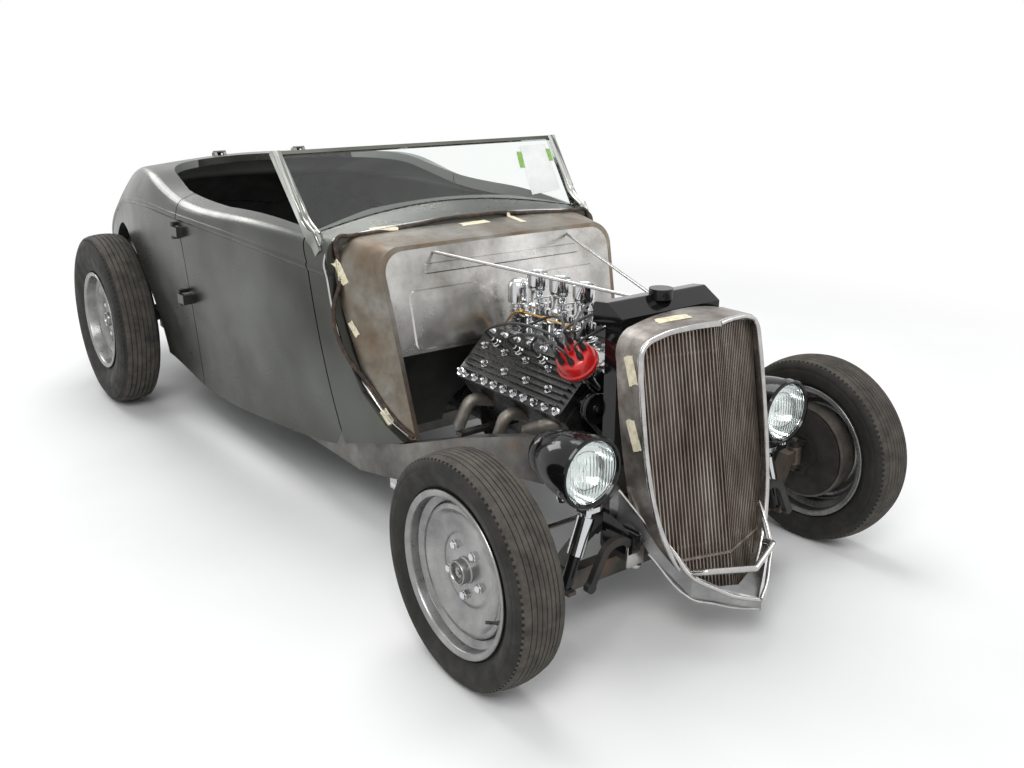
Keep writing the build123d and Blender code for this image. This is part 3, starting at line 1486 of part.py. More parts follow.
lens_edge = lamp_lip + BOWL_T + PIN_CLEARANCE
dome_r = ((LENS_R - 1) ** 2 + LENS_DOME ** 2) / (2 * LENS_DOME)
half_dome = dome_r - (dome_r ** 2 - ((LENS_R - 1) / 2) ** 2) ** 0.5
with BuildPart() as headlamp_lenses:
    for side in (1, -1):
        with BuildSketch(lamp_plane(side)):
            with BuildLine():
                crown_y = lens_edge - LENS_DOME
                ThreePointArc((lens_edge, LENS_R - 1), (crown_y + half_dome, (LENS_R - 1) / 2), (crown_y, 0))
                Line((crown_y, 0), (crown_y + LENS_T, 0))
                ThreePointArc((crown_y + LENS_T, 0), (crown_y + half_dome + LENS_T, (LENS_R - 1) / 2),
                              (lens_edge + LENS_T, LENS_R - 1))
                Polyline((lens_edge + LENS_T, LENS_R - 1), (lens_edge + LENS_T, LENS_R + 5), (lens_edge,
                         LENS_R + 5),
                         (lens_edge, LENS_R - 1))
            make_face()
        revolve(axis=lamp_axis(side))
save(headlamp_lenses, "headlamp_lenses")

# Filled bowls, which the stands end against
with BuildPart() as bowl_cores:
    for side in (1, -1):
        with BuildSketch(lamp_plane(side)):
            with BuildLine():
                Polyline((bowl_centre, BOWL_END_R), (bowl_centre, 0), (neck_y, 0), (neck_y, BOWL_NECK_R))
                ThreePointArc((neck_y, BOWL_NECK_R),
                              ((neck_y + bowl_centre) / 2, (BOWL_NECK_R + BOWL_END_R) / 2 + BOWL_BULGE),
                              (bowl_centre, BOWL_END_R))
            make_face()
        revolve(axis=lamp_axis(side))

with BuildPart() as headlamp_stands:
    for side in (1, -1):
        with BuildLine() as stand_line:
            FilletPolyline(at(side * STAND_FOOT[0], STAND_Y, STAND_FOOT[1]),
                           at(side * STAND_ELBOW[0], STAND_Y, STAND_ELBOW[1]),
                           at(side * LAMP_X, STAND_Y, LAMP_Z - BOWL_END_R), radius=18)
        with BuildSketch(Plane(stand_line.line @ 0, z_dir=stand_line.line % 0)):
            Circle(STAND_R)
        sweep(path=stand_line.line)
    add(frame.part, mode=Mode.SUBTRACT)
    add(bowl_cores.part, mode=Mode.SUBTRACT)
save(headlamp_stands, "headlamp_stands")

# Front shock absorbers ahead of the axle, under arms from the rails
with BuildPart() as lever_shocks:
    for side in (1, -1):
        with BuildSketch(along(side * LEVER_BODY_X)) as lever_side:
            with BuildLine():
                Polyline(*LEVER_BODY, close=True)
            make_face()
            fillet(lever_side.vertices().filter_by(lambda v: v.Y < 300), 24)
        extrude(amount=side * LEVER_BODY_W)
        with BuildSketch(across(LEVER_Y - LEVER_T / 2)):
            with BuildLine():
                ThreePointArc(*[(side * x, z) for x, z in LEVER_LINE[:3]])
                Line((side * LEVER_LINE[2][0], LEVER_LINE[2][1]), (side * LEVER_LINE[3][0], LEVER_LINE[3][1]))
            trace(line_width=LEVER_W)
            with Locations((side * LEVER_LINE[3][0], LEVER_LINE[3][1])):
                Circle(LEVER_W * 0.7)
        extrude(amount=-LEVER_T)

with BuildPart() as front_shocks:
    add(lever_shocks.part)
    for side in (1, -1):
        foot = at(side * SHOCK_FOOT[0], SHOCK_FOOT[1], SHOCK_FOOT[2] + PIN_CLEARANCE)
        head = at(side * SHOCK_HEAD[0], SHOCK_HEAD[1], SHOCK_HEAD[2])
        span = head - foot
        with BuildSketch(Plane(foot, z_dir=span)):
            Circle(17)
        extrude(amount=span.length)
        with BuildSketch(Plane(foot + span * 0.42, z_dir=span)):
            Circle(24)
        extrude(amount=span.length * 0.48)
        # Arm from the rail over the shock's head
        with BuildSketch(level(SHOCK_HEAD[2] - 6)):
            with BuildLine():
                Polyline((side * 230, -26), (side * 336, -84), (side * 384, -84), (side * 384, -44),
                         (side * 290, -8), (side * 230, -8), close=True)
            make_face()
        extrude(amount=14)
    add(frame.part, mode=Mode.SUBTRACT)
    add(front_apron.part, mode=Mode.SUBTRACT)
    add(front_axle.part, mode=Mode.SUBTRACT)
save(front_shocks, "front_shocks")
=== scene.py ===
import math
import random

import bpy
from mathutils import Matrix, Vector


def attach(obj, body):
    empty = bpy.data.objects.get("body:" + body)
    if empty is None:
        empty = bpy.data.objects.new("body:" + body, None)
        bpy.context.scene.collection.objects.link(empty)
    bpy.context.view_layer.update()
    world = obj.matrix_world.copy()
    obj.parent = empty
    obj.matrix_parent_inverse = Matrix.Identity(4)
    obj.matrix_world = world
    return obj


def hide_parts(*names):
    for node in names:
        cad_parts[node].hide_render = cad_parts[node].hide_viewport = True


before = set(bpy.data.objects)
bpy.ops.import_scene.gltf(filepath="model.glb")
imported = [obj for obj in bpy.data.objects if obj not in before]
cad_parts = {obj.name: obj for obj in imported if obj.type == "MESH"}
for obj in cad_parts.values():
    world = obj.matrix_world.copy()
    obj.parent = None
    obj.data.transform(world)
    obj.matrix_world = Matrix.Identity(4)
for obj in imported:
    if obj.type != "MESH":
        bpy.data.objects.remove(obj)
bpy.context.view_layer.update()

bl_info = {
    "name": "Street Rod Roadster",
    "version": (1, 0, 0),
    "blender": (4, 5, 0),
    "location": "3D View > Sidebar > Roadster",
    "description": "Dresses the packed frame of a bare metal street rod roadster",
    "category": "Add Mesh",
}

# Middle of the car behind the front axle, in millimetres
MID_Y = 1589
SIDES = ((1, "left"), (-1, "right"))
# Axle, hub's x and y, tyre's radius and width, and rim's width
WHEELS = (
    ("front", 695.5, 0, 311, 146, 124),
    ("rear", 732.5, 2845, 389, 180, 152),
)
# Radius of the wheel studs' circle
STUD_CIRCLE = 69.85
# Photograph's lens on a sensor of this width, and its size in pixels
LENS_MM = 35.254
SENSOR_MM = 36
PHOTO_W, PHOTO_H = 1024, 768


def at(x, y, z):
    """Point in metres from millimetres, with y measured from the front axle."""
    return Vector((x, y - MID_Y, z)) / 1000


# Sizes and colours


def count(name, description, value):
    return bpy.props.IntProperty(name=name, description=description, default=value, min=3)


def length(name, description, value):
    return bpy.props.FloatProperty(name=name, description=description, default=value, unit="LENGTH")


class RoadsterSizes(bpy.types.PropertyGroup):
    """Sizes of the pieces that dress the frame"""

    front_ribs: count("Front Ribs", "Ribs across a front tyre", 8)
    rear_ribs: count("Rear Ribs", "Ribs across a rear tyre", 7)
    groove_depth: length("Groove Depth", "Depth of the tread grooves", 0.006)
    scallop_depth: length("Scallop Depth", "Depth of the notches round the shoulders", 0.0022)
    lug_radius: length("Lug Nut Radius", "Radius over the corners of a wheel nut", 0.0135)
    head_nut_radius: length("Head Nut Radius", "Radius over the corners of a cylinder head nut", 0.0095)
    wire_radius: length("Plug Wire Radius", "Radius of an ignition wire", 0.0042)
    strip_radius: length("Lacing Radius", "Radius of the lacing on the cowl's edge", 0.0075)
    tape_thickness: length("Tape Thickness", "Thickness of the masking tape", 0.0005)


def colour(name, description, value):
    return bpy.props.FloatVectorProperty(
        name=name, description=description, subtype="COLOR", size=4, min=0, max=1, default=(*value, 1))


class RoadsterColours(bpy.types.PropertyGroup):
    """Colours of the finishes"""

    steel: colour("Body Steel", "Bare body metal", (0.096, 0.099, 0.090))
    steel_dark: colour("Dark Steel", "Stained patches of the body", (0.050, 0.052, 0.045))
    rust: colour("Rust", "Surface rust along edges and seams", (0.20, 0.11, 0.055))
    primer: colour("Brown Stain", "Old primer on the cowl's nose", (0.17, 0.12, 0.08))
    polished: colour("Polished Steel", "Rubbed edges and beads", (0.55, 0.54, 0.53))
    grille: colour("Grille Blades", "Brown steel of the blades", (0.235, 0.195, 0.165))
    chrome: colour("Chrome", "Plated parts", (0.60, 0.61, 0.62))
    enamel: colour("Black Enamel", "Gloss black paint", (0.006, 0.006, 0.0065))
    casting: colour("Grey Casting", "Exhaust stubs and castings", (0.26, 0.24, 0.215))
    wheel: colour("Wheel Steel", "Bare wheels", (0.31, 0.31, 0.305))
    rubber: colour("Rubber", "Tyre rubber", (0.017, 0.0165, 0.015))
    dust: colour("Dust", "Dust on the tread", (0.075, 0.068, 0.058))
    cap: colour("Distributor Cap", "Red cap", (0.62, 0.012, 0.01))
    tape: colour("Tape", "Masking tape", (0.74, 0.68, 0.50))
    floor: colour("Floor", "Studio floor", (0.82, 0.82, 0.815))
    # Painted shade: this near black on the body panels' inner faces and undersides stands for the shade
    # inside the cockpit and under the panels
    inside: colour("Painted Inside Shade", "Dark painted shade inside the body", (0.022, 0.022, 0.021))


def sizes():
    return bpy.context.scene.roadster_sizes


def colours():
    return bpy.context.scene.roadster_colours


# Modelling helpers


def deselect():
    if bpy.context.object and bpy.context.object.mode != "OBJECT":
        bpy.ops.object.mode_set(mode="OBJECT")
    bpy.ops.object.select_all(action="DESELECT")


def only(obj):
    deselect()
    obj.select_set(True)
    bpy.context.view_layer.objects.active = obj


def settle(obj):
    """Bakes the object's place into its mesh."""
    only(obj)
    bpy.ops.object.transform_apply(location=True, rotation=True, scale=True)
    return obj


def stand(obj, foot, along=(0, 0, 1), turn=0.0):
    """Moves a piece made at the origin so that its Z runs along a direction from foot."""
    lean = Vector((0, 0, 1)).rotation_difference(Vector(along)).to_matrix().to_4x4()
    obj.matrix_world = Matrix.Translation(foot) @ lean @ Matrix.Rotation(turn, 4, "Z")
    return settle(obj)


def copy_of(obj):
    twin = obj.copy()
    twin.data = obj.data.copy()
    bpy.context.scene.collection.objects.link(twin)
    return twin


def join(name, pieces):
    deselect()
    for piece in pieces:
        piece.select_set(True)
    bpy.context.view_layer.objects.active = pieces[0]
    if len(pieces) > 1:
        bpy.ops.object.join()
    joined = bpy.context.object
    joined.name = name
    return joined


def tidy_mesh(obj):
    """Merges doubles, drops loose edges and points the faces outwards."""
    only(obj)
    bpy.ops.object.mode_set(mode="EDIT")
    bpy.ops.mesh.select_all(action="SELECT")
    bpy.ops.mesh.remove_doubles(threshold=0.00002)
    bpy.ops.mesh.dissolve_degenerate(threshold=0.00001)
    bpy.ops.mesh.select_all(action="SELECT")
    bpy.ops.mesh.delete_loose(use_verts=True, use_edges=True, use_faces=False)
    bpy.ops.mesh.select_all(action="SELECT")
    bpy.ops.mesh.normals_make_consistent(inside=False)
    bpy.ops.object.mode_set(mode="OBJECT")
    return obj


def lathe(name, outline, steps=48):
    """Spins a closed outline of (radius, height) in millimetres about Z."""
    deselect()
    bpy.ops.mesh.primitive_circle_add(vertices=len(outline), radius=0.1)
    obj = bpy.context.object
    obj.name = name
    for vertex, (radius, height) in zip(obj.data.vertices, outline):
        vertex.co = (radius / 1000, 0, height / 1000)
    bpy.ops.object.mode_set(mode="EDIT")
    bpy.ops.mesh.select_all(action="SELECT")
    bpy.ops.mesh.spin(steps=steps, angle=2 * math.pi, center=(0, 0, 0), axis=(0, 0, 1))
    return tidy_mesh(obj)


def turned(name, outline, steps, foot, along=(0, 0, 1)):
    """Piece off the lathe, stood on its foot along a direction."""
    return stand(lathe(name, outline, steps), foot, along)


def walled(obj, thickness, offset):
    """Gives a sheet its thickness, in metres, to one side."""
    only(obj)
    wall = obj.modifiers.new("Wall", "SOLIDIFY")
    wall.thickness = thickness
    wall.offset = offset
    bpy.ops.object.modifier_apply(modifier=wall.name)
    return obj


def bevelled(obj, width):
    only(obj)
    bevel = obj.modifiers.new("Bevel", "BEVEL")
    bevel.width = width / 1000
    bevel.segments = 2
    bevel.limit_method = "ANGLE"
    bevel.angle_limit = math.radians(40)
    bpy.ops.object.modifier_apply(modifier=bevel.name)
    return obj


def block(name, size, centre, bevel=2, turn=(0, 0, 0)):
    """Box of a size in millimetres with rounded edges, at a centre in metres."""
    deselect()
    bpy.ops.mesh.primitive_cube_add(size=1, location=centre, rotation=turn)
    obj = bpy.context.object
    obj.name = name
    obj.scale = Vector(size) / 1000
    settle(obj)
    return bevelled(obj, bevel)


def pipe(name, points, radius, kind="NURBS", sides=3, smooth=8):
    """Round bar or hose along points in metres."""
    deselect()
    if kind == "NURBS":
        bpy.ops.curve.primitive_nurbs_path_add()
    else:
        bpy.ops.curve.primitive_bezier_curve_add()
    obj = bpy.context.object
    obj.name = name
    curve = obj.data
    curve.splines.clear()
    curve.dimensions = "3D"
    curve.resolution_u = smooth
    curve.bevel_depth = radius
    curve.bevel_resolution = sides
    curve.use_fill_caps = True
    if kind == "NURBS":
        spline = curve.splines.new("NURBS")
        spline.points.add(len(points) - 1)
        for point, place in zip(spline.points, points):
            point.co = (*place, 1)
        spline.order_u = 3
        spline.use_endpoint_u = True
    else:
        spline = curve.splines.new("BEZIER")
        spline.bezier_points.add(len(points) - 1)
        for point, place in zip(spline.bezier_points, points):
            point.co = place
            point.handle_left_type = point.handle_right_type = "AUTO"
    obj.matrix_world = Matrix.Identity(4)
    bpy.ops.object.convert(target="MESH")
    return tidy_mesh(bpy.context.object)


def done(obj, body, slot, *finishes, replaces=(), angle=35):
    """Shades a piece, gives it its finishes and sets it on its body."""
    only(obj)
    bpy.ops.object.shade_smooth_by_angle(angle=math.radians(angle))
    indices = [polygon.material_index for polygon in obj.data.polygons]
    obj.data.materials.clear()
    for material in finishes:
        obj.data.materials.append(material)
    if len(finishes) > 1:
        obj.data.polygons.foreach_set("material_index", indices)
    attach(obj, body)
    if replaces:
        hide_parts(*replaces)
    return obj


def dress(name, pieces, slot, shade, body="chassis", **more):
    """Joins pieces into one with a finish, on a body."""
    return done(join(name, pieces), body, slot, finish(shade), **more)


def paint_faces(obj, index, wanted):
    """Gives the faces for which wanted(centre, normal) holds another material slot."""
    while len(obj.data.materials) <= index:
        obj.data.materials.append(None)
    for polygon in obj.data.polygons:
        if wanted(polygon.center, polygon.normal):
            polygon.material_index = index


def skin(node, origin, direction):
    """Where a ray meets a CAD node, and the surface's normal there."""
    found, place, normal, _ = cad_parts[node].ray_cast(origin, Vector(direction).normalized())
    if not found:
        raise RuntimeError(f"no surface of {node} from {tuple(origin)}")
    return place, normal


def seen(px, py, *nodes):
    """Nearest point of these nodes behind a pixel of the photograph, and its normal."""
    camera = bpy.context.scene.camera
    focal = LENS_MM / SENSOR_MM * PHOTO_W
    ray = Vector(((px - PHOTO_W / 2) / focal, (PHOTO_H / 2 - py) / focal, -1))
    ray = camera.matrix_world.to_3x3() @ ray
    origin = camera.matrix_world.translation
    hits = []
    for node in nodes:
        found, place, normal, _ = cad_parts[node].ray_cast(origin, ray.normalized())
        if found:
            hits.append(((place - origin).length, place, normal))
    if not hits:
        raise RuntimeError(f"pixel {px}, {py} shows none of {nodes}")
    return min(hits)[1:]


# Finishes


def tint(value):
    """Colour with its alpha, from a grey, a colour or the name of one of the panel's colours."""
    if isinstance(value, str):
        value = getattr(colours(), value)
    elif isinstance(value, float):
        value = (value, value, value)
    return (*value[:3], 1)


class Finish:
    """One material and the nodes that are added to it."""

    def __init__(self, name, **values):
        self.material = bpy.data.materials.new(name)
        self.material.use_nodes = True
        self.tree = self.material.node_tree
        self.shader = self.tree.nodes["Principled BSDF"]
        self.place = self.tree.nodes.new("ShaderNodeTexCoord").outputs["Object"]
        for key, value in values.items():
            socket = self.shader.inputs[key.replace("_", " ")]
            socket.default_value = tint(value) if key == "Base_Color" else value

    def link(self, output, socket):
        self.tree.links.new(output, socket)

    def feed(self, output, socket):
        self.link(output, self.shader.inputs[socket])

    def noise(self, scale, detail, rough, stretch=None):
        """Noise on the object's coordinates, closer set along the axes that are stretched."""
        place = self.place
        if stretch:
            mapping = self.tree.nodes.new("ShaderNodeMapping")
            mapping.inputs["Scale"].default_value = stretch
            self.link(place, mapping.inputs["Vector"])
            place = mapping.outputs["Vector"]
        noise = self.tree.nodes.new("ShaderNodeTexNoise")
        noise.inputs["Scale"].default_value = scale
        noise.inputs["Detail"].default_value = detail
        noise.inputs["Roughness"].default_value = rough
        self.link(place, noise.inputs["Vector"])
        return noise.outputs["Fac"]

    def ramp(self, source, *stops):
        """Colour ramp whose stops are (position, tint)."""
        node = self.tree.nodes.new("ShaderNodeValToRGB")
        self.link(source, node.inputs["Fac"])
        elements = node.color_ramp.elements
        while len(elements) < len(stops):
            elements.new(0.5)
        for element, (position, value) in zip(elements, stops):
            element.position = position
            element.color = tint(value)
        return node.outputs["Color"]

    def cloud(self, noise, *stops):
        """Ramp over a noise."""
        return self.ramp(self.noise(*noise), *stops)

    def mix(self, mask, low, high):
        node = self.tree.nodes.new("ShaderNodeMix")
        node.data_type = "RGBA"
        self.link(mask, node.inputs["Factor"])
        for value, socket in ((low, node.inputs[6]), (high, node.inputs[7])):
            if isinstance(value, bpy.types.NodeSocket):
                self.link(value, socket)
            else:
                socket.default_value = tint(value)
        return node.outputs[2]

    def times(self, first, second):
        node = self.tree.nodes.new("ShaderNodeMath")
        node.operation = "MULTIPLY"
        self.link(first, node.inputs[0])
        self.link(second, node.inputs[1])
        return node.outputs["Value"]

    def bump(self, noise, strength, distance):
        node = self.tree.nodes.new("ShaderNodeBump")
        node.inputs["Strength"].default_value = strength
        node.inputs["Distance"].default_value = distance
        self.link(self.noise(*noise), node.inputs["Height"])
        before = self.shader.inputs["Normal"].links
        if before:
            self.link(before[0].from_socket, node.inputs["Normal"])
        self.feed(node.outputs["Normal"], "Normal")


def cloudy(name, gloss, tone=None, stain=None, bumps=(), **values):
    """Finish of a tone and a gloss over noises, with a stain through a mask and with bumps."""
    f = Finish(name, **values)
    if tone:
        base = f.cloud(*tone)
        if stain:
            *mask, shade = stain
            base = f.mix(f.cloud(*mask), base, shade)
        f.feed(base, "Base Color")
    f.feed(f.cloud(*gloss), "Roughness")
    for bump in bumps:
        f.bump(*bump)
    return f.material


def painted_inside_shade():
    """Painted shade inside the body: a dark coat on the inner faces and undersides, with bare steel above it
    on the rolled edge of the cockpit.
    """
    f = Finish("painted_inside_shade", Specular_IOR_Level=0.2)
    split = f.tree.nodes.new("ShaderNodeSeparateXYZ")
    f.link(f.place, split.inputs["Vector"])
    height = split.outputs["Z"]
    bare = f.ramp(height, (0.955, 0.0), (0.985, 1.0))
    # Painted shade: near black below the rolled edge
    paint = f.cloud((7, 5, 0.6), (0.35, "inside"), (0.7, (0.045, 0.043, 0.040)))
    f.feed(f.mix(bare, paint, (0.34, 0.35, 0.33)), "Base Color")
    f.feed(f.ramp(height, (0.955, 0.0), (0.985, 0.45)), "Metallic")
    f.feed(f.mix(bare, f.cloud((12, 5, 0.6), (0.3, 0.55), (0.7, 0.80)), 0.32), "Roughness")
    f.bump((70, 4, 0.6), 0.03, 0.0004)
    return f.material


def radiator_core():
    """Level fins of the radiator as bands, with painted shade in the gaps between them."""
    f = Finish("radiator_core", Specular_IOR_Level=0.3)
    wave = f.tree.nodes.new("ShaderNodeTexWave")
    wave.wave_type = "BANDS"
    wave.bands_direction = "Z"
    wave.inputs["Scale"].default_value = 95
    f.link(f.place, wave.inputs["Vector"])
    # Painted shade: the darker bands are the shade between the fins
    f.feed(f.ramp(wave.outputs["Fac"], (0.30, 0.003), (0.70, (0.020, 0.019, 0.018))), "Base Color")
    f.feed(f.cloud((20, 5, 0.6), (0.3, 0.35), (0.7, 0.6)), "Roughness")
    return f.material


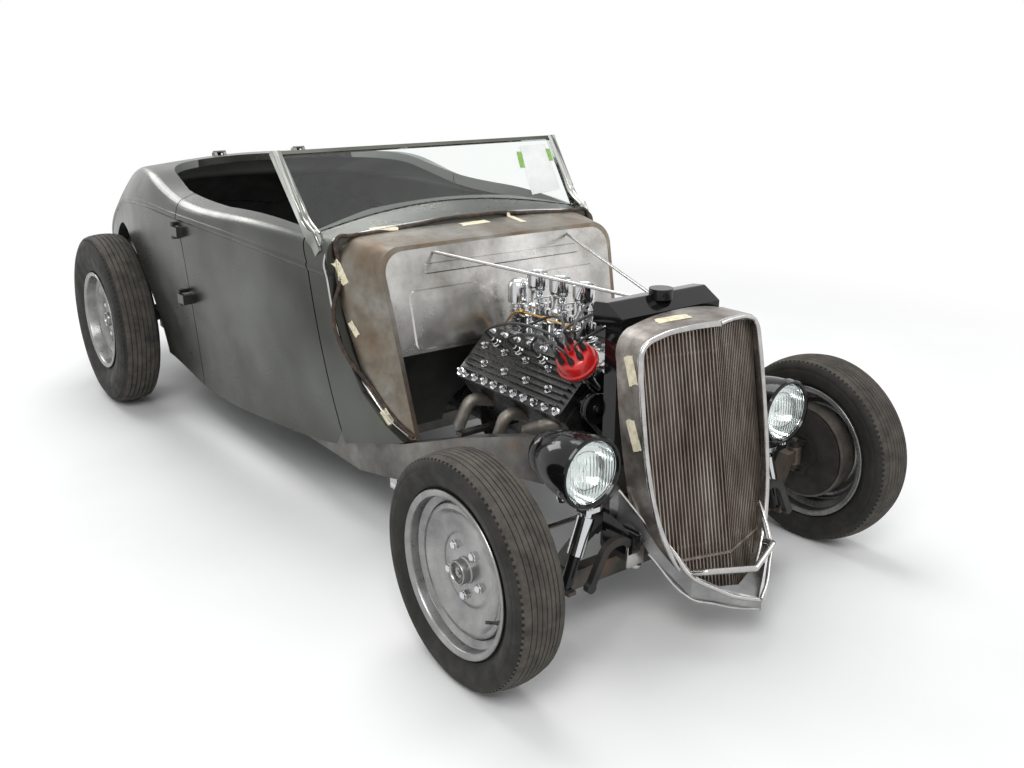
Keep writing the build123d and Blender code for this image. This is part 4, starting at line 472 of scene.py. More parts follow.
# Finishes over noises. A noise is (scale, detail, roughness, stretch), followed by its stops.
# A stain ends with its colour, and a bump is (noise, strength, distance).
CLOUDY = {
    "body": dict(
        name="body_steel", Metallic=0.94,
        tone=((1.7, 3, 0.5), (0.32, "steel_dark"), (0.52, "steel"), (0.74, (0.150, 0.155, 0.142))),
        stain=((5.5, 6, 0.7), (0.62, 0.0), (0.80, 0.35), "rust"),
        gloss=((5, 5, 0.6), (0.30, 0.24), (0.55, 0.31), (0.75, 0.42)),
        bumps=[((60, 3, 0.5, (1, 9, 1)), 0.025, 0.0004), ((1.8, 2, 0.4), 0.10, 0.010)]),
    "nose": dict(
        name="nose_steel", Metallic=0.85,
        tone=((4, 6, 0.65), (0.34, "primer"), (0.50, (0.20, 0.175, 0.14)), (0.64, (0.26, 0.25, 0.225))),
        stain=((12, 5, 0.6), (0.48, 0.0), (0.74, 0.6), (0.075, 0.062, 0.052)),
        gloss=((9, 5, 0.6), (0.3, 0.25), (0.7, 0.52)), bumps=[((70, 3, 0.6), 0.10, 0.0007)]),
    "wall": dict(
        name="firewall_steel", Metallic=0.93,
        tone=((3.2, 5, 0.6), (0.32, (0.24, 0.23, 0.21)), (0.48, (0.46, 0.45, 0.43)),
              (0.66, (0.70, 0.69, 0.67))),
        stain=((8, 5, 0.6), (0.60, 0.0), (0.78, 0.5), "rust"),
        gloss=((6, 5, 0.6), (0.3, 0.16), (0.7, 0.34)),
        bumps=[((24, 4, 0.6), 0.06, 0.001), ((3, 2, 0.4), 0.22, 0.012)]),
    "polished": dict(
        name="polished_steel", Metallic=1.0,
        tone=((26, 4, 0.6), (0.3, (0.40, 0.39, 0.38)), (0.7, "polished")),
        gloss=((40, 4, 0.6), (0.3, 0.14), (0.7, 0.30)), bumps=[((120, 2, 0.5), 0.05, 0.0004)]),
    "grille": dict(
        name="grille_steel", Metallic=0.8,
        tone=((22, 5, 0.65, (1, 1, 0.18)), (0.30, (0.13, 0.095, 0.075)), (0.48, "grille"),
              (0.70, (0.40, 0.355, 0.315))),
        gloss=((60, 4, 0.6), (0.3, 0.30), (0.7, 0.52)), bumps=[((200, 3, 0.6), 0.12, 0.0004)]),
    "shell": dict(
        name="shell_steel", Metallic=0.85,
        tone=((9, 6, 0.65), (0.32, (0.10, 0.075, 0.06)), (0.50, (0.20, 0.18, 0.16)),
              (0.68, (0.36, 0.345, 0.32))),
        gloss=((17, 5, 0.6), (0.3, 0.24), (0.7, 0.50)), bumps=[((80, 3, 0.6), 0.10, 0.0006)]),
    "apron": dict(
        name="apron_steel", Metallic=0.92,
        tone=((7, 5, 0.6), (0.34, 0.19), (0.55, 0.31), (0.75, 0.44)),
        gloss=((15, 5, 0.6), (0.3, 0.24), (0.7, 0.46)), bumps=[((60, 3, 0.6, (1, 1, 6)), 0.10, 0.0006)]),
    "chrome": dict(
        name="chrome_plate", Metallic=1.0, Base_Color="chrome",
        gloss=((50, 4, 0.6), (0.35, 0.045), (0.75, 0.16)), bumps=[((160, 2, 0.5), 0.02, 0.0004)]),
    # Painted reflections: dark and bright streaks along the windshield posts and their ridges
    "post": dict(
        name="post_chrome_painted_reflections", Metallic=1.0,
        tone=((75, 2, 0.5, (1, 0.02, 0.02)), (0.38, (0.07, 0.075, 0.065)), (0.50, (0.34, 0.35, 0.32)),
              (0.62, (0.66, 0.67, 0.64))),
        gloss=((50, 4, 0.6), (0.35, 0.05), (0.75, 0.14))),
    # Painted reflection: the header's chrome is darkened to a dim reflection
    "header": dict(
        name="header_chrome_painted_dark", Metallic=1.0,
        tone=((3, 3, 0.5), (0.35, (0.10, 0.105, 0.09)), (0.65, (0.22, 0.225, 0.20))),
        gloss=((50, 4, 0.6), (0.35, 0.08), (0.75, 0.18))),
    "enamel": dict(
        name="black_enamel", Base_Color="enamel", Specular_IOR_Level=0.32,
        gloss=((30, 4, 0.6), (0.3, 0.05), (0.75, 0.16)), bumps=[((220, 2, 0.5), 0.02, 0.0003)]),
    "engine": dict(
        name="engine_black", Specular_IOR_Level=0.45,
        tone=((18, 5, 0.6), (0.35, 0.006), (0.75, (0.022, 0.021, 0.019))),
        gloss=((24, 5, 0.6), (0.3, 0.16), (0.7, 0.38)), bumps=[((180, 4, 0.6), 0.22, 0.0008)]),
    "satin": dict(
        name="satin_black", Specular_IOR_Level=0.3,
        tone=((8, 6, 0.65), (0.35, 0.012), (0.68, (0.040, 0.037, 0.033))),
        gloss=((20, 5, 0.6), (0.3, 0.34), (0.7, 0.62)), bumps=[((90, 4, 0.6), 0.18, 0.0008)]),
    "rail": dict(
        name="rail_steel", Metallic=0.85,
        tone=((6, 6, 0.65), (0.32, (0.09, 0.085, 0.08)), (0.54, (0.17, 0.165, 0.155)),
              (0.74, (0.27, 0.26, 0.245))),
        stain=((10, 6, 0.7), (0.56, 0.0), (0.74, 0.65), "rust"),
        gloss=((13, 5, 0.6), (0.3, 0.30), (0.7, 0.58)), bumps=[((70, 4, 0.6), 0.16, 0.0008)]),
    "casting": dict(
        name="grey_casting", Metallic=0.7,
        tone=((16, 6, 0.65), (0.32, (0.15, 0.13, 0.11)), (0.6, "casting"), (0.8, (0.38, 0.36, 0.33))),
        gloss=((20, 5, 0.6), (0.3, 0.36), (0.7, 0.62)), bumps=[((260, 4, 0.65), 0.30, 0.0008)]),
    "alloy": dict(
        name="polished_alloy", Metallic=1.0,
        tone=((14, 5, 0.6), (0.32, 0.42), (0.7, 0.62)),
        gloss=((30, 5, 0.6), (0.3, 0.15), (0.7, 0.36)), bumps=[((140, 4, 0.6), 0.12, 0.0006)]),
    "brass": dict(
        name="brass_fittings", Metallic=1.0,
        tone=((40, 4, 0.6), (0.3, (0.30, 0.17, 0.06)), (0.7, (0.55, 0.36, 0.14))),
        gloss=((60, 4, 0.6), (0.3, 0.18), (0.7, 0.40))),
    "wheel": dict(
        name="wheel_steel", Metallic=0.9,
        tone=((9, 5, 0.6), (0.30, 0.19), (0.55, "wheel"), (0.8, (0.44, 0.44, 0.43))),
        gloss=((26, 5, 0.6), (0.3, 0.22), (0.7, 0.42)), bumps=[((150, 3, 0.6), 0.08, 0.0004)]),
    "sidewall": dict(
        name="sidewall_rubber", Specular_IOR_Level=0.22,
        tone=((12, 6, 0.7), (0.42, "rubber"), (0.62, (0.030, 0.028, 0.025)), (0.80, (0.055, 0.050, 0.043))),
        gloss=((18, 5, 0.6), (0.3, 0.52), (0.7, 0.80)), bumps=[((300, 3, 0.6), 0.16, 0.0004)]),
    "tread": dict(
        name="tread_rubber", Specular_IOR_Level=0.2,
        tone=((20, 6, 0.7), (0.32, (0.032, 0.030, 0.027)), (0.55, "dust"), (0.78, (0.115, 0.105, 0.090))),
        gloss=((40, 5, 0.6), (0.3, 0.72), (0.7, 0.92)), bumps=[((350, 4, 0.65), 0.3, 0.0006)]),
    "cap": dict(
        name="red_cap", Coat_Weight=0.4, Coat_Roughness=0.12,
        tone=((24, 4, 0.6), (0.3, (0.42, 0.008, 0.008)), (0.65, "cap")),
        gloss=((50, 4, 0.6), (0.3, 0.26), (0.7, 0.42))),
    "wire": dict(
        name="wire_rubber", Specular_IOR_Level=0.4,
        tone=((60, 4, 0.6), (0.35, 0.012), (0.7, (0.04, 0.038, 0.035))),
        gloss=((80, 4, 0.6), (0.3, 0.38), (0.7, 0.62)), bumps=[((500, 2, 0.5), 0.10, 0.0003)]),
    "tape": dict(
        name="masking_tape", Specular_IOR_Level=0.2,
        tone=((60, 5, 0.65), (0.3, (0.52, 0.46, 0.32)), (0.55, "tape"), (0.8, (0.82, 0.78, 0.62))),
        gloss=((90, 4, 0.6), (0.3, 0.66), (0.7, 0.86)), bumps=[((500, 3, 0.6, (1, 1, 4)), 0.35, 0.0005)]),
    "lacing": dict(
        name="lacing_rubber", Specular_IOR_Level=0.3,
        tone=((55, 5, 0.7), (0.42, (0.022, 0.020, 0.018)), (0.62, (0.075, 0.045, 0.028)),
              (0.75, (0.16, 0.09, 0.05))),
        gloss=((90, 4, 0.6), (0.3, 0.50), (0.7, 0.80)), bumps=[((260, 3, 0.6), 0.4, 0.0008)]),
    "glass": dict(
        name="clear_glass", Transmission_Weight=1.0, IOR=1.45, Base_Color=(0.93, 0.97, 0.95),
        gloss=((7, 4, 0.6), (0.4, 0.0), (0.8, 0.012))),
    "paper": dict(
        name="white_paper", Specular_IOR_Level=0.2,
        tone=((14, 4, 0.6), (0.3, (0.60, 0.61, 0.60)), (0.7, (0.72, 0.73, 0.72))),
        gloss=((60, 4, 0.6), (0.3, 0.6), (0.7, 0.8))),
    "green": dict(
        name="green_tape", Specular_IOR_Level=0.2,
        tone=((60, 4, 0.6), (0.3, (0.16, 0.30, 0.07)), (0.7, (0.26, 0.44, 0.12))),
        gloss=((90, 4, 0.6), (0.3, 0.6), (0.7, 0.8))),
    "axle": dict(
        name="axle_steel", Metallic=0.5,
        tone=((9, 6, 0.65), (0.34, (0.035, 0.030, 0.026)), (0.54, (0.10, 0.090, 0.080)), (0.74, "rust")),
        gloss=((18, 5, 0.6), (0.3, 0.36), (0.7, 0.66)), bumps=[((120, 4, 0.6), 0.18, 0.0007)]),
    "mirror": dict(
        name="mirror_bowl", Metallic=1.0, Base_Color=(0.86, 0.87, 0.88),
        gloss=((40, 3, 0.5), (0.3, 0.05), (0.7, 0.14)), bumps=[((30, 3, 0.6), 0.10, 0.001)]),
    # Painted shade: the floor pan and the fuel tank are near black for the shade they lie in
    "sheet": dict(
        name="floor_sheet_painted_shade", Specular_IOR_Level=0.2,
        tone=((4, 6, 0.65), (0.35, 0.014), (0.7, (0.045, 0.042, 0.038))),
        gloss=((10, 5, 0.6), (0.3, 0.40), (0.7, 0.68)), bumps=[((50, 4, 0.6), 0.15, 0.0008)]),
}
# inside is the painted shade inside the body
OTHER = {"inside": painted_inside_shade, "core": radiator_core}
made_finishes = {}


def finish(name):
    """The named finish, made the first time that it is asked for."""
    if name not in made_finishes:
        made_finishes[name] = OTHER[name]() if name in OTHER else cloudy(**CLOUDY[name])
    return made_finishes[name]


# Pieces

NODE_FINISHES = {
    "frame": "rail", "cowl": "body", "rear_body": "body", "deck_lid": "body", "door_left": "body",
    "door_right": "body", "firewall": "wall", "floor_pan": "sheet", "windshield_frame": "post",
    "windshield_glass": "glass", "grille_shell": "shell", "grille_bars": "grille", "front_apron": "apron",
    "guard_bar": "polished", "radiator": "enamel", "support_rods": "polished", "engine_block": "engine",
    "cylinder_heads": "engine", "intake": "chrome", "exhaust_pipes": "casting", "distributor": "enamel",
    "front_drive": "enamel", "rear_axle": "satin", "rear_spring": "satin", "fuel_tank": "sheet",
    "front_axle": "axle", "front_spring": "satin", "radius_rods": "chrome", "headlamp_buckets": "enamel",
    "headlamp_lenses": "glass", "headlamp_stands": "chrome", "front_shocks": "chrome", "tie_rod": "chrome",
    "knuckle_left": "satin", "knuckle_right": "satin", "front_drum_left": "casting",
    "front_drum_right": "casting",
}
# Front edge of the cowl's skin in metres: height, and distance behind the front axle
NOSE_EDGE = ((0.381, 0.672), (0.392, 0.700), (0.430, 0.762), (0.520, 0.852), (0.640, 0.912), (0.760, 0.955),
             (0.880, 0.982), (1.2, 0.986))


class ROADSTER_OT_frame_finishes(bpy.types.Operator):
    """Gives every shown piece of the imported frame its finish"""

    bl_idname = "roadster.frame_finishes"
    bl_label = "Finish the Frame Pieces"

    def execute(self, context):
        for node, name in NODE_FINISHES.items():
            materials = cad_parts[node].data.materials
            materials.clear()
            materials.append(finish(name))
        # Painted shade on the body panels' faces that look into the car or down
        for node in ("cowl", "rear_body", "door_left", "door_right", "deck_lid"):
            self.repaint(node, "inside", self.faces_inwards)
        self.repaint("cowl", "nose", lambda c, n: c.y < self.nose_edge(c.z))
        self.repaint("grille_shell", "polished", lambda c, n: n.y < -0.75)
        # The header gets the darkened chrome of a painted dark reflection
        self.repaint("windshield_frame", "header", lambda c, n: abs(c.x) < 0.55)
        # The shocks' rods stay plated beside their tubes, levers and lever bodies
        self.repaint("front_shocks", "enamel", lambda c, n: abs(c.x) > 0.38 and c.z < 0.312 and c.y > -1.695)
        self.repaint("front_shocks", "satin", lambda c, n: abs(c.x) < 0.42 and c.y < -1.705)
        self.repaint("front_shocks", "enamel", lambda c, n: abs(c.x) < 0.27)
        self.repaint("radiator", "core", lambda c, n: abs(n.y) > 0.9 and c.z < 0.85)
        return {"FINISHED"}

    @staticmethod
    def repaint(node, shade, wanted):
        """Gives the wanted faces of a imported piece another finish."""
        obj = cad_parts[node]
        name = finish(shade).name
        if name not in obj.data.materials:
            obj.data.materials.append(finish(shade))
        paint_faces(obj, obj.data.materials.find(name), wanted)

    @staticmethod
    def faces_inwards(centre, normal):
        """Is this a face of a body panel that looks into the car or down, and so gets the painted shade?"""
        inwards = -normal.x if centre.x > 0 else normal.x
        return (abs(centre.x) > 0.05 and inwards > 0.5) or normal.z < -0.6

    @staticmethod
    def nose_edge(z):
        """Station, in the row frame, of the cowl skin's front edge at a height."""
        behind = NOSE_EDGE[-1][1]
        for (z0, y0), (z1, y1) in zip(NOSE_EDGE, NOSE_EDGE[1:]):
            if z <= z1:
                behind = y0 + (y1 - y0) * (max(z, z0) - z0) / (z1 - z0)
                break
        return behind - MID_Y / 1000 - 0.003


RIM_SEAT_R = 219
TYRE_STEPS = 216
CROWN_DROP = 8.5
TREAD_DEEP = 12
# Tyre's bead: radius, and share of the half width
TYRE_BEAD = ((206.8, 0.68), (224, 0.70), (227, 0.77), (231, 0.79))
# Tyre's side: share of the way from the rim seat to the tread, and share of the half width
TYRE_SIDE = ((0.22, 0.885), (0.36, 0.965), (0.50, 0.995), (0.56, 1.0), (0.585, 0.985), (0.62, 0.982),
             (0.645, 0.99), (0.72, 0.965), (0.80, 0.92), (0.85, 0.875), (0.90, 0.82))
# Notched faces: between which shares of the way they lie, and how far out in shares of the width
NOTCH_FROM, NOTCH_TO, NOTCH_OUT = 0.85, 0.90, 0.4


def tyre_outline(radius, width, ribs, groove):
    """Closed outline of a tyre as (radius, offset), with grooves between its ribs."""
    half = width / 2
    edge = 0.75 * half
    pitch = 2 * edge / ribs
    cut = 0.11 * pitch

    def crown(offset):
        return radius - CROWN_DROP * (offset / edge) ** 2

    side = [*TYRE_BEAD, *((RIM_SEAT_R + (radius - RIM_SEAT_R) * share, wide) for share, wide in TYRE_SIDE)]
    tread = [(crown(edge) - 1.5, edge)]
    for index in range(1, ribs):
        middle = edge - index * pitch
        top = crown(middle)
        tread += [(top, middle + cut), (top - groove, middle + cut * 0.7), (top - groove, middle - cut * 0.7),
                  (top, middle - cut)]
    tread.append((crown(edge) - 1.5, -edge))
    return [(r, o * half) for r, o in side] + tread + [(r, -o * half) for r, o in reversed(side)]


class ROADSTER_OT_tyres(bpy.types.Operator):
    """Builds the four ribbed tyres with notched shoulders"""

    bl_idname = "roadster.tyres"
    bl_label = "Tyres"

    def execute(self, context):
        for end, x, y, radius, width, _ in WHEELS:
            ribs = sizes().front_ribs if end == "front" else sizes().rear_ribs
            outline = tyre_outline(radius, width, ribs, sizes().groove_depth * 1000)
            tyre = lathe(f"{end}_tyre", outline, TYRE_STEPS)
            self.notch(tyre, radius, width)
            paint_faces(tyre, 1, lambda c, n: math.hypot(c.x, c.y) * 1000 > radius - TREAD_DEEP)
            for side, word in SIDES:
                piece = copy_of(tyre)
                piece.name = f"ribbed_{end}_tyre_{word}"
                stand(piece, at(side * x, y, radius), (side, 0, 0))
                done(piece, f"{end}_wheel_{word}", "tyre_rubber", finish("sidewall"), finish("tread"),
                     replaces=[f"{end}_tyre_{word}"])
            bpy.data.objects.remove(tyre)
        return {"FINISHED"}

    @staticmethod
    def notch(tyre, radius, width):
        """Sinks every second face round both shoulders."""
        low, high = (RIM_SEAT_R + (radius - RIM_SEAT_R) * share for share in (NOTCH_FROM, NOTCH_TO))
        out = width * NOTCH_OUT / 1000
        only(tyre)
        bpy.ops.object.mode_set(mode="EDIT")
        bpy.ops.mesh.select_mode(type="FACE")
        bpy.ops.mesh.select_all(action="DESELECT")
        bpy.ops.object.mode_set(mode="OBJECT")
        for polygon in tyre.data.polygons:
            centre = polygon.center
            reach = math.hypot(centre.x, centre.y) * 1000
            column = round(math.atan2(centre.y, centre.x) / (2 * math.pi) * TYRE_STEPS - 0.5)
            polygon.select = low < reach < high and abs(centre.z) > out and column % 2 == 0
        bpy.ops.object.mode_set(mode="EDIT")
        bpy.ops.mesh.inset(thickness=0.0008, depth=-sizes().scallop_depth, use_individual=True)
        bpy.ops.object.mode_set(mode="OBJECT")


# Wheel sections as (radius, offset), the rim's lip and inside counted from its half width
RIM_LIP = [(217, 2), (220.5, 1), (222, -2), (221, -5), (206.4, -6)]
RIM_WELL = [(206.4, 32), (186, 24), (186, -24), (206.4, -32)]
RIM_BACK = [(214, 1), (204, -2), (201.4, -8)]
RIM_FLOOR = [(201.4, -31), (181, -22), (181, 22), (201.4, 31)]
RIM_FRONT = [(201.4, -9), (204, -3), (214, 1)]
DISC = [(183.5, 10), (179, 22), (176, 28.5), (170, 30.5), (164, 30.5), (157, 24.5), (151, 19), (146, 16.5),
        (125, 13), (108, 10.5), (103, 10.8), (99, 13), (95, 15.8), (90, 16.5), (60, 16.5), (34, 16.5),
        (34, 11.6), (90, 11.6), (94, 10.5), (98, 7.5), (103, 5.6), (108, 5.6), (125, 8), (146, 11.5),
        (150, 13), (156, 18), (163, 25.5), (170, 25.6), (173, 24), (176, 18), (178.5, 10)]
HUB = [(0, 16), (36, 16), (36, 20), (33, 23), (33, 42), (31.5, 44.5), (28.5, 44.5), (27, 42), (27, 30),
       (0, 30)]
SPINDLE = [(0, 30), (15, 30), (15, 38), (8, 38), (8, 42), (0, 42)]
REAR_DRUM = [(34, 11), (92, 5), (150, -10), (155, -14), (155, -24), (152, -26), (152, -62), (155, -64),
             (155, -66), (148, -66), (148, -12), (90, -1), (34, 6)]
VALVE = [(0, -4), (6.5, -4), (7, 2), (4.5, 8), (3.6, 20), (4.4, 21), (4.4, 33), (3.6, 35), (0, 35)]
DISC_FACE = 16.5
# Valve's foot in metres: distance from the axle, and outwards from the wheel's middle
VALVE_R, VALVE_OUT = 0.183, 0.036


def hex_nut(name, radius, height, dome):
    """Nut with a domed cap, standing on the origin."""
    base = lathe(name, [(0, 0), (radius, 0), (radius, height * 0.8), (radius * 0.86, height), (0, height)], 6)
    cap = lathe(name + "_cap", [(0, height * 0.9), (radius * 0.84, height * 0.9),
                                (radius * 0.78, height + dome * 0.45), (radius * 0.5, height + dome * 0.88),
                                (0, height + dome)], 20)
    return join(name, [base, cap])


class ROADSTER_OT_wheels(bpy.types.Operator):
    """Builds the four bare steel wheels with hubs, nuts and valve stems"""

    bl_idname = "roadster.wheels"
    bl_label = "Wheels"

    def execute(self, context):
        nut = hex_nut("lug", sizes().lug_radius * 1000, 9, 8)
        for end, x, y, radius, _, rim_width in WHEELS:
            wheel = self.wheel(rim_width / 2)
            for side, word in SIDES:
                centre = at(side * x, y, radius)
                body = f"{end}_wheel_{word}"
                pieces = [stand(copy_of(wheel), centre, (side, 0, 0))]
                if end == "rear":
                    pieces.append(turned("drum", REAR_DRUM, 72, centre, (side, 0, 0)))
                dress(f"steel_{end}_wheel_{word}", pieces, "wheel_steel", "wheel", body, replaces=[body])
                nuts = []
                for index in range(5):
                    turn = math.radians(90 + 72 * index)
                    y_out, z_out = STUD_CIRCLE * math.cos(turn), STUD_CIRCLE * math.sin(turn) * side
                    spot = centre + Vector((side * DISC_FACE, y_out, z_out)) / 1000
                    nuts.append(stand(copy_of(nut), spot, (side, 0, 0)))
                dress(f"lug_nuts_{end}_{word}", nuts, "chrome", "chrome", body)
                stem = self.valve(centre, side)
                dress(f"valve_stem_{end}_{word}", [stem], "tyre_rubber", "wire", body)
            bpy.data.objects.remove(wheel)
        bpy.data.objects.remove(nut)
        return {"FINISHED"}

    @staticmethod
    def wheel(half):
        """Rim of a half width with its disc, hub and spindle end."""
        section = [(r, half + o) for r, o in RIM_LIP] + RIM_WELL
        section += [(r, -half - o) for r, o in (*reversed(RIM_LIP), *RIM_BACK)]
        section += RIM_FLOOR + [(r, half + o) for r, o in RIM_FRONT]
        rim = bevelled(lathe("rim", section, 96), 0.6)
        disc = lathe("disc", DISC, 96)
        hub = lathe("hub", HUB, 48)
        return join("wheel", [rim, disc, hub, lathe("spindle", SPINDLE, 6)])

    @staticmethod
    def valve(centre, side):
        """Stem that leans out of the rim's well, a little lower than the axle."""
        turn = math.radians(200 if side < 0 else 340)
        out = Vector((0, math.cos(turn), math.sin(turn)))
        foot = centre + out * VALVE_R + Vector((side * VALVE_OUT, 0, 0))
        return turned("stem", VALVE, 20, foot, Vector((side * 0.8, 0, 0)) - out * 0.45)


LAMP_X, LAMP_FRONT, LAMP_Z = 388, -111, 529
LENS_R = 0.0855
# Flutes across the lens, their height and the dome's in millimetres, and how high up the lens they reach
FLUTES, FLUTE_H, DOME_H, FLUTE_REACH = 15, 0.9, 9.5, 0.62
STAND_Y = 10
BOWL = [(83.5, -14), (80, -30), (70, -50), (52, -68), (30, -79), (12, -83), (12, -85), (31, -81), (54, -70),
        (72, -52), (82, -31), (85, -14)]
BULB = [(0, -84), (11, -84), (11, -70), (15, -60), (15, -50), (11, -42), (0, -38)]
COLLAR = [(0, 0), (17, 0), (18, 4), (18, 12), (14, 16), (14, 22), (24, 28), (24, 34), (0, 34)]
BALL = [(0, -16), (8, -14), (14, -8), (16, 0), (14, 8), (8, 14), (0, 16)]


class ROADSTER_OT_headlamps(bpy.types.Operator):
    """Builds the fluted lenses, reflectors, bulbs and mounting collars of the headlamps"""

    bl_idname = "roadster.headlamps"
    bl_label = "Headlamps"

    def execute(self, context):
        lenses, bowls, collars, clamps = [], [], [], []
        for side in (1, -1):
            centre = at(side * LAMP_X, LAMP_FRONT, LAMP_Z)
            foot = at(side * LAMP_X, STAND_Y, LAMP_Z - 113)
            lenses.append(self.lens(centre))
            bowls.append(turned("bowl", BOWL, 64, centre, (0, -1, 0)))
            bowls.append(turned("bulb", BULB, 24, centre, (0, -1, 0)))
            collars.append(turned("collar", COLLAR, 32, foot))
            collars.append(stand(hex_nut("collar_nut", 13, 9, 2), foot - Vector((0, 0, 0.009))))
            collars.append(turned("ball", BALL, 24, at(side * (LAMP_X - 34), STAND_Y, 402)))
            spot = at(side * LAMP_X, LAMP_FRONT + 10, LAMP_Z - 100)
            clamps.append(block("clamp", (16, 12, 12), spot, 2))
            clamps.append(stand(hex_nut("clamp_nut", 5, 4, 2), spot + Vector((0, -0.006, 0)), (0, -1, 0)))
        dress("lamp_lenses", lenses, "lens_glass", "glass", replaces=["headlamp_lenses"], angle=20)
        dress("lamp_reflectors", bowls, "chrome", "mirror")
        dress("lamp_collars", collars, "chrome", "chrome")
        dress("lamp_rim_clamps", clamps, "chrome", "chrome")
        return {"FINISHED"}

    @staticmethod
    def lens(centre):
        """Domed disc with upright flutes, closed with its own thickness."""
        deselect()
        bpy.ops.mesh.primitive_grid_add(x_subdivisions=96, y_subdivisions=40, size=2)
        lens = bpy.context.object
        for vertex in lens.data.vertices:
            u, v = vertex.co.x, vertex.co.y
            x = u * math.sqrt(1 - v * v / 2)
            y = v * math.sqrt(1 - u * u / 2)
            reach = math.hypot(x, y)
            dome = DOME_H * (1 - reach * reach)
            flute = FLUTE_H * math.cos(x * FLUTES * math.pi) * (1 - reach ** 6)
            flute *= 1 if abs(y) < FLUTE_REACH else 0.35
            vertex.co = (x * LENS_R, y * LENS_R, (dome + flute - 8) / 1000)
        walled(lens, 0.003, -1)
        lens.matrix_world = Matrix.Translation(centre) @ Matrix.Rotation(math.pi / 2, 4, "X")
        return settle(lens)


# Middle of the left head's deck in millimetres, and the spark plugs' row
HEAD_ORIGIN = (185.26, 427.5, 620.26)
PLUG_ALONG = (-186, -70, 50, 166)
PLUG_ACROSS = -48
# Rows of head nuts: place across the head, and places along it
NUT_ROWS = (
    (-82, (-236, -170, -104, -38, 28, 94, 160, 226)),
    (-29, (-214, -108, 0, 108, 214)),
    (29, (-160, -54, 54, 160)),
    (82, (-240, -190, -140, -90, -40, 10, 60, 110, 160, 210, 240)),
)
WASHER = [(0, 0), (13.5, 0), (14, 1.5), (13, 3), (0, 3)]
PLUG = [(0, -4), (15, -4), (15, 4), (11, 6), (11, 13), (8, 15), (7, 26), (7.6, 27), (7.6, 29), (6, 31),
        (0, 31)]


def on_head(side, along, across, up):
    """Point on a cylinder head: along the car, out across the head, and up from its deck, in millimetres."""
    d = math.sin(math.pi / 4)
    x, y, z = HEAD_ORIGIN
    return at(side * (x + (across + up) * d), y + along, z + (up - across) * d)


class ROADSTER_OT_heads(bpy.types.Operator):
    """Builds the head nuts and the spark plugs"""

    bl_idname = "roadster.heads"
    bl_label = "Head Nuts and Plugs"

    def execute(self, context):
        nut = hex_nut("stud_nut", sizes().head_nut_radius * 1000, 7, 8)
        washer = lathe("washer", WASHER, 24)
        nut = join("stud_nut", [stand(nut, Vector((0, 0, 0.003))), washer])
        plug = lathe("plug", PLUG, 20)
        for side, word in SIDES:
            normal = (side, 0, 1)
            # Each nut is turned by its own place, so that they don't line up
            nuts = [stand(copy_of(nut), on_head(side, along, across, 34), normal, along)
                    for across, row in NUT_ROWS for along in row]
            dress(f"head_nuts_{word}", nuts, "chrome", "chrome")
            feet = [on_head(side, along, PLUG_ACROSS, 36) for along in PLUG_ALONG]
            plugs = [stand(copy_of(plug), foot, normal) for foot in feet]
            dress(f"spark_plugs_{word}", plugs, "alloy", "alloy")
        for obj in (nut, plug):
            bpy.data.objects.remove(obj)
        return {"FINISHED"}


CARB_Y = (387, 501, 615)
# Carburettor and breather sections as (radius, height)
BARREL = [(0, 714), (31, 714), (31, 722), (28, 726), (28, 772), (32, 776), (32, 782), (24, 788), (22, 800),
          (22, 822), (26, 830), (31, 833), (31, 838), (33, 841), (34, 846), (34, 882), (35.5, 884),
          (34, 886), (31.5, 885), (30.5, 880), (30, 850), (24, 838), (19, 820), (19, 800), (0, 800)]
FLOAT_BOWL = [(0, 688), (21, 688), (22, 692), (22, 742), (24, 745), (24, 751), (20, 755), (8, 758),
              (8, 764), (5, 767), (0, 767)]
PUMP = [(0, 694), (12, 694), (12, 748), (14, 750), (14, 756), (6, 760), (3, 762), (3, 790), (0, 790)]
BREATHER_RIB = ((24, 0), (30, 3.5), (30, 7), (24, 10.5))
BREATHER = [(0, 540), (24, 540), (24, 672),
            *((r, low + up) for low in range(676, 767, 13) for r, up in BREATHER_RIB), (24, 770), (34, 778),
            (35, 784), (35, 828), (32, 842), (22, 852), (8, 856), (0, 856)]
FILLER_NECK = [(0, 0), (30, 0), (30, 8), (20, 10), (20, 34), (23, 35), (23, 40), (0, 40)]
UNION = [(0, -9), (7, -9), (8, 0), (7, 9), (0, 9)]
# Cords as points (x, distance behind the axle, height)
FUEL_LINE = [(-62, 350, 762), (-62, 400, 764), (-62, 501, 764), (-62, 615, 764), (-64, 670, 750),
             (-70, 700, 700)]
THROTTLE_ROD = [(50, 372, 704), (50, 420, 704), (50, 560, 704), (50, 632, 704)]


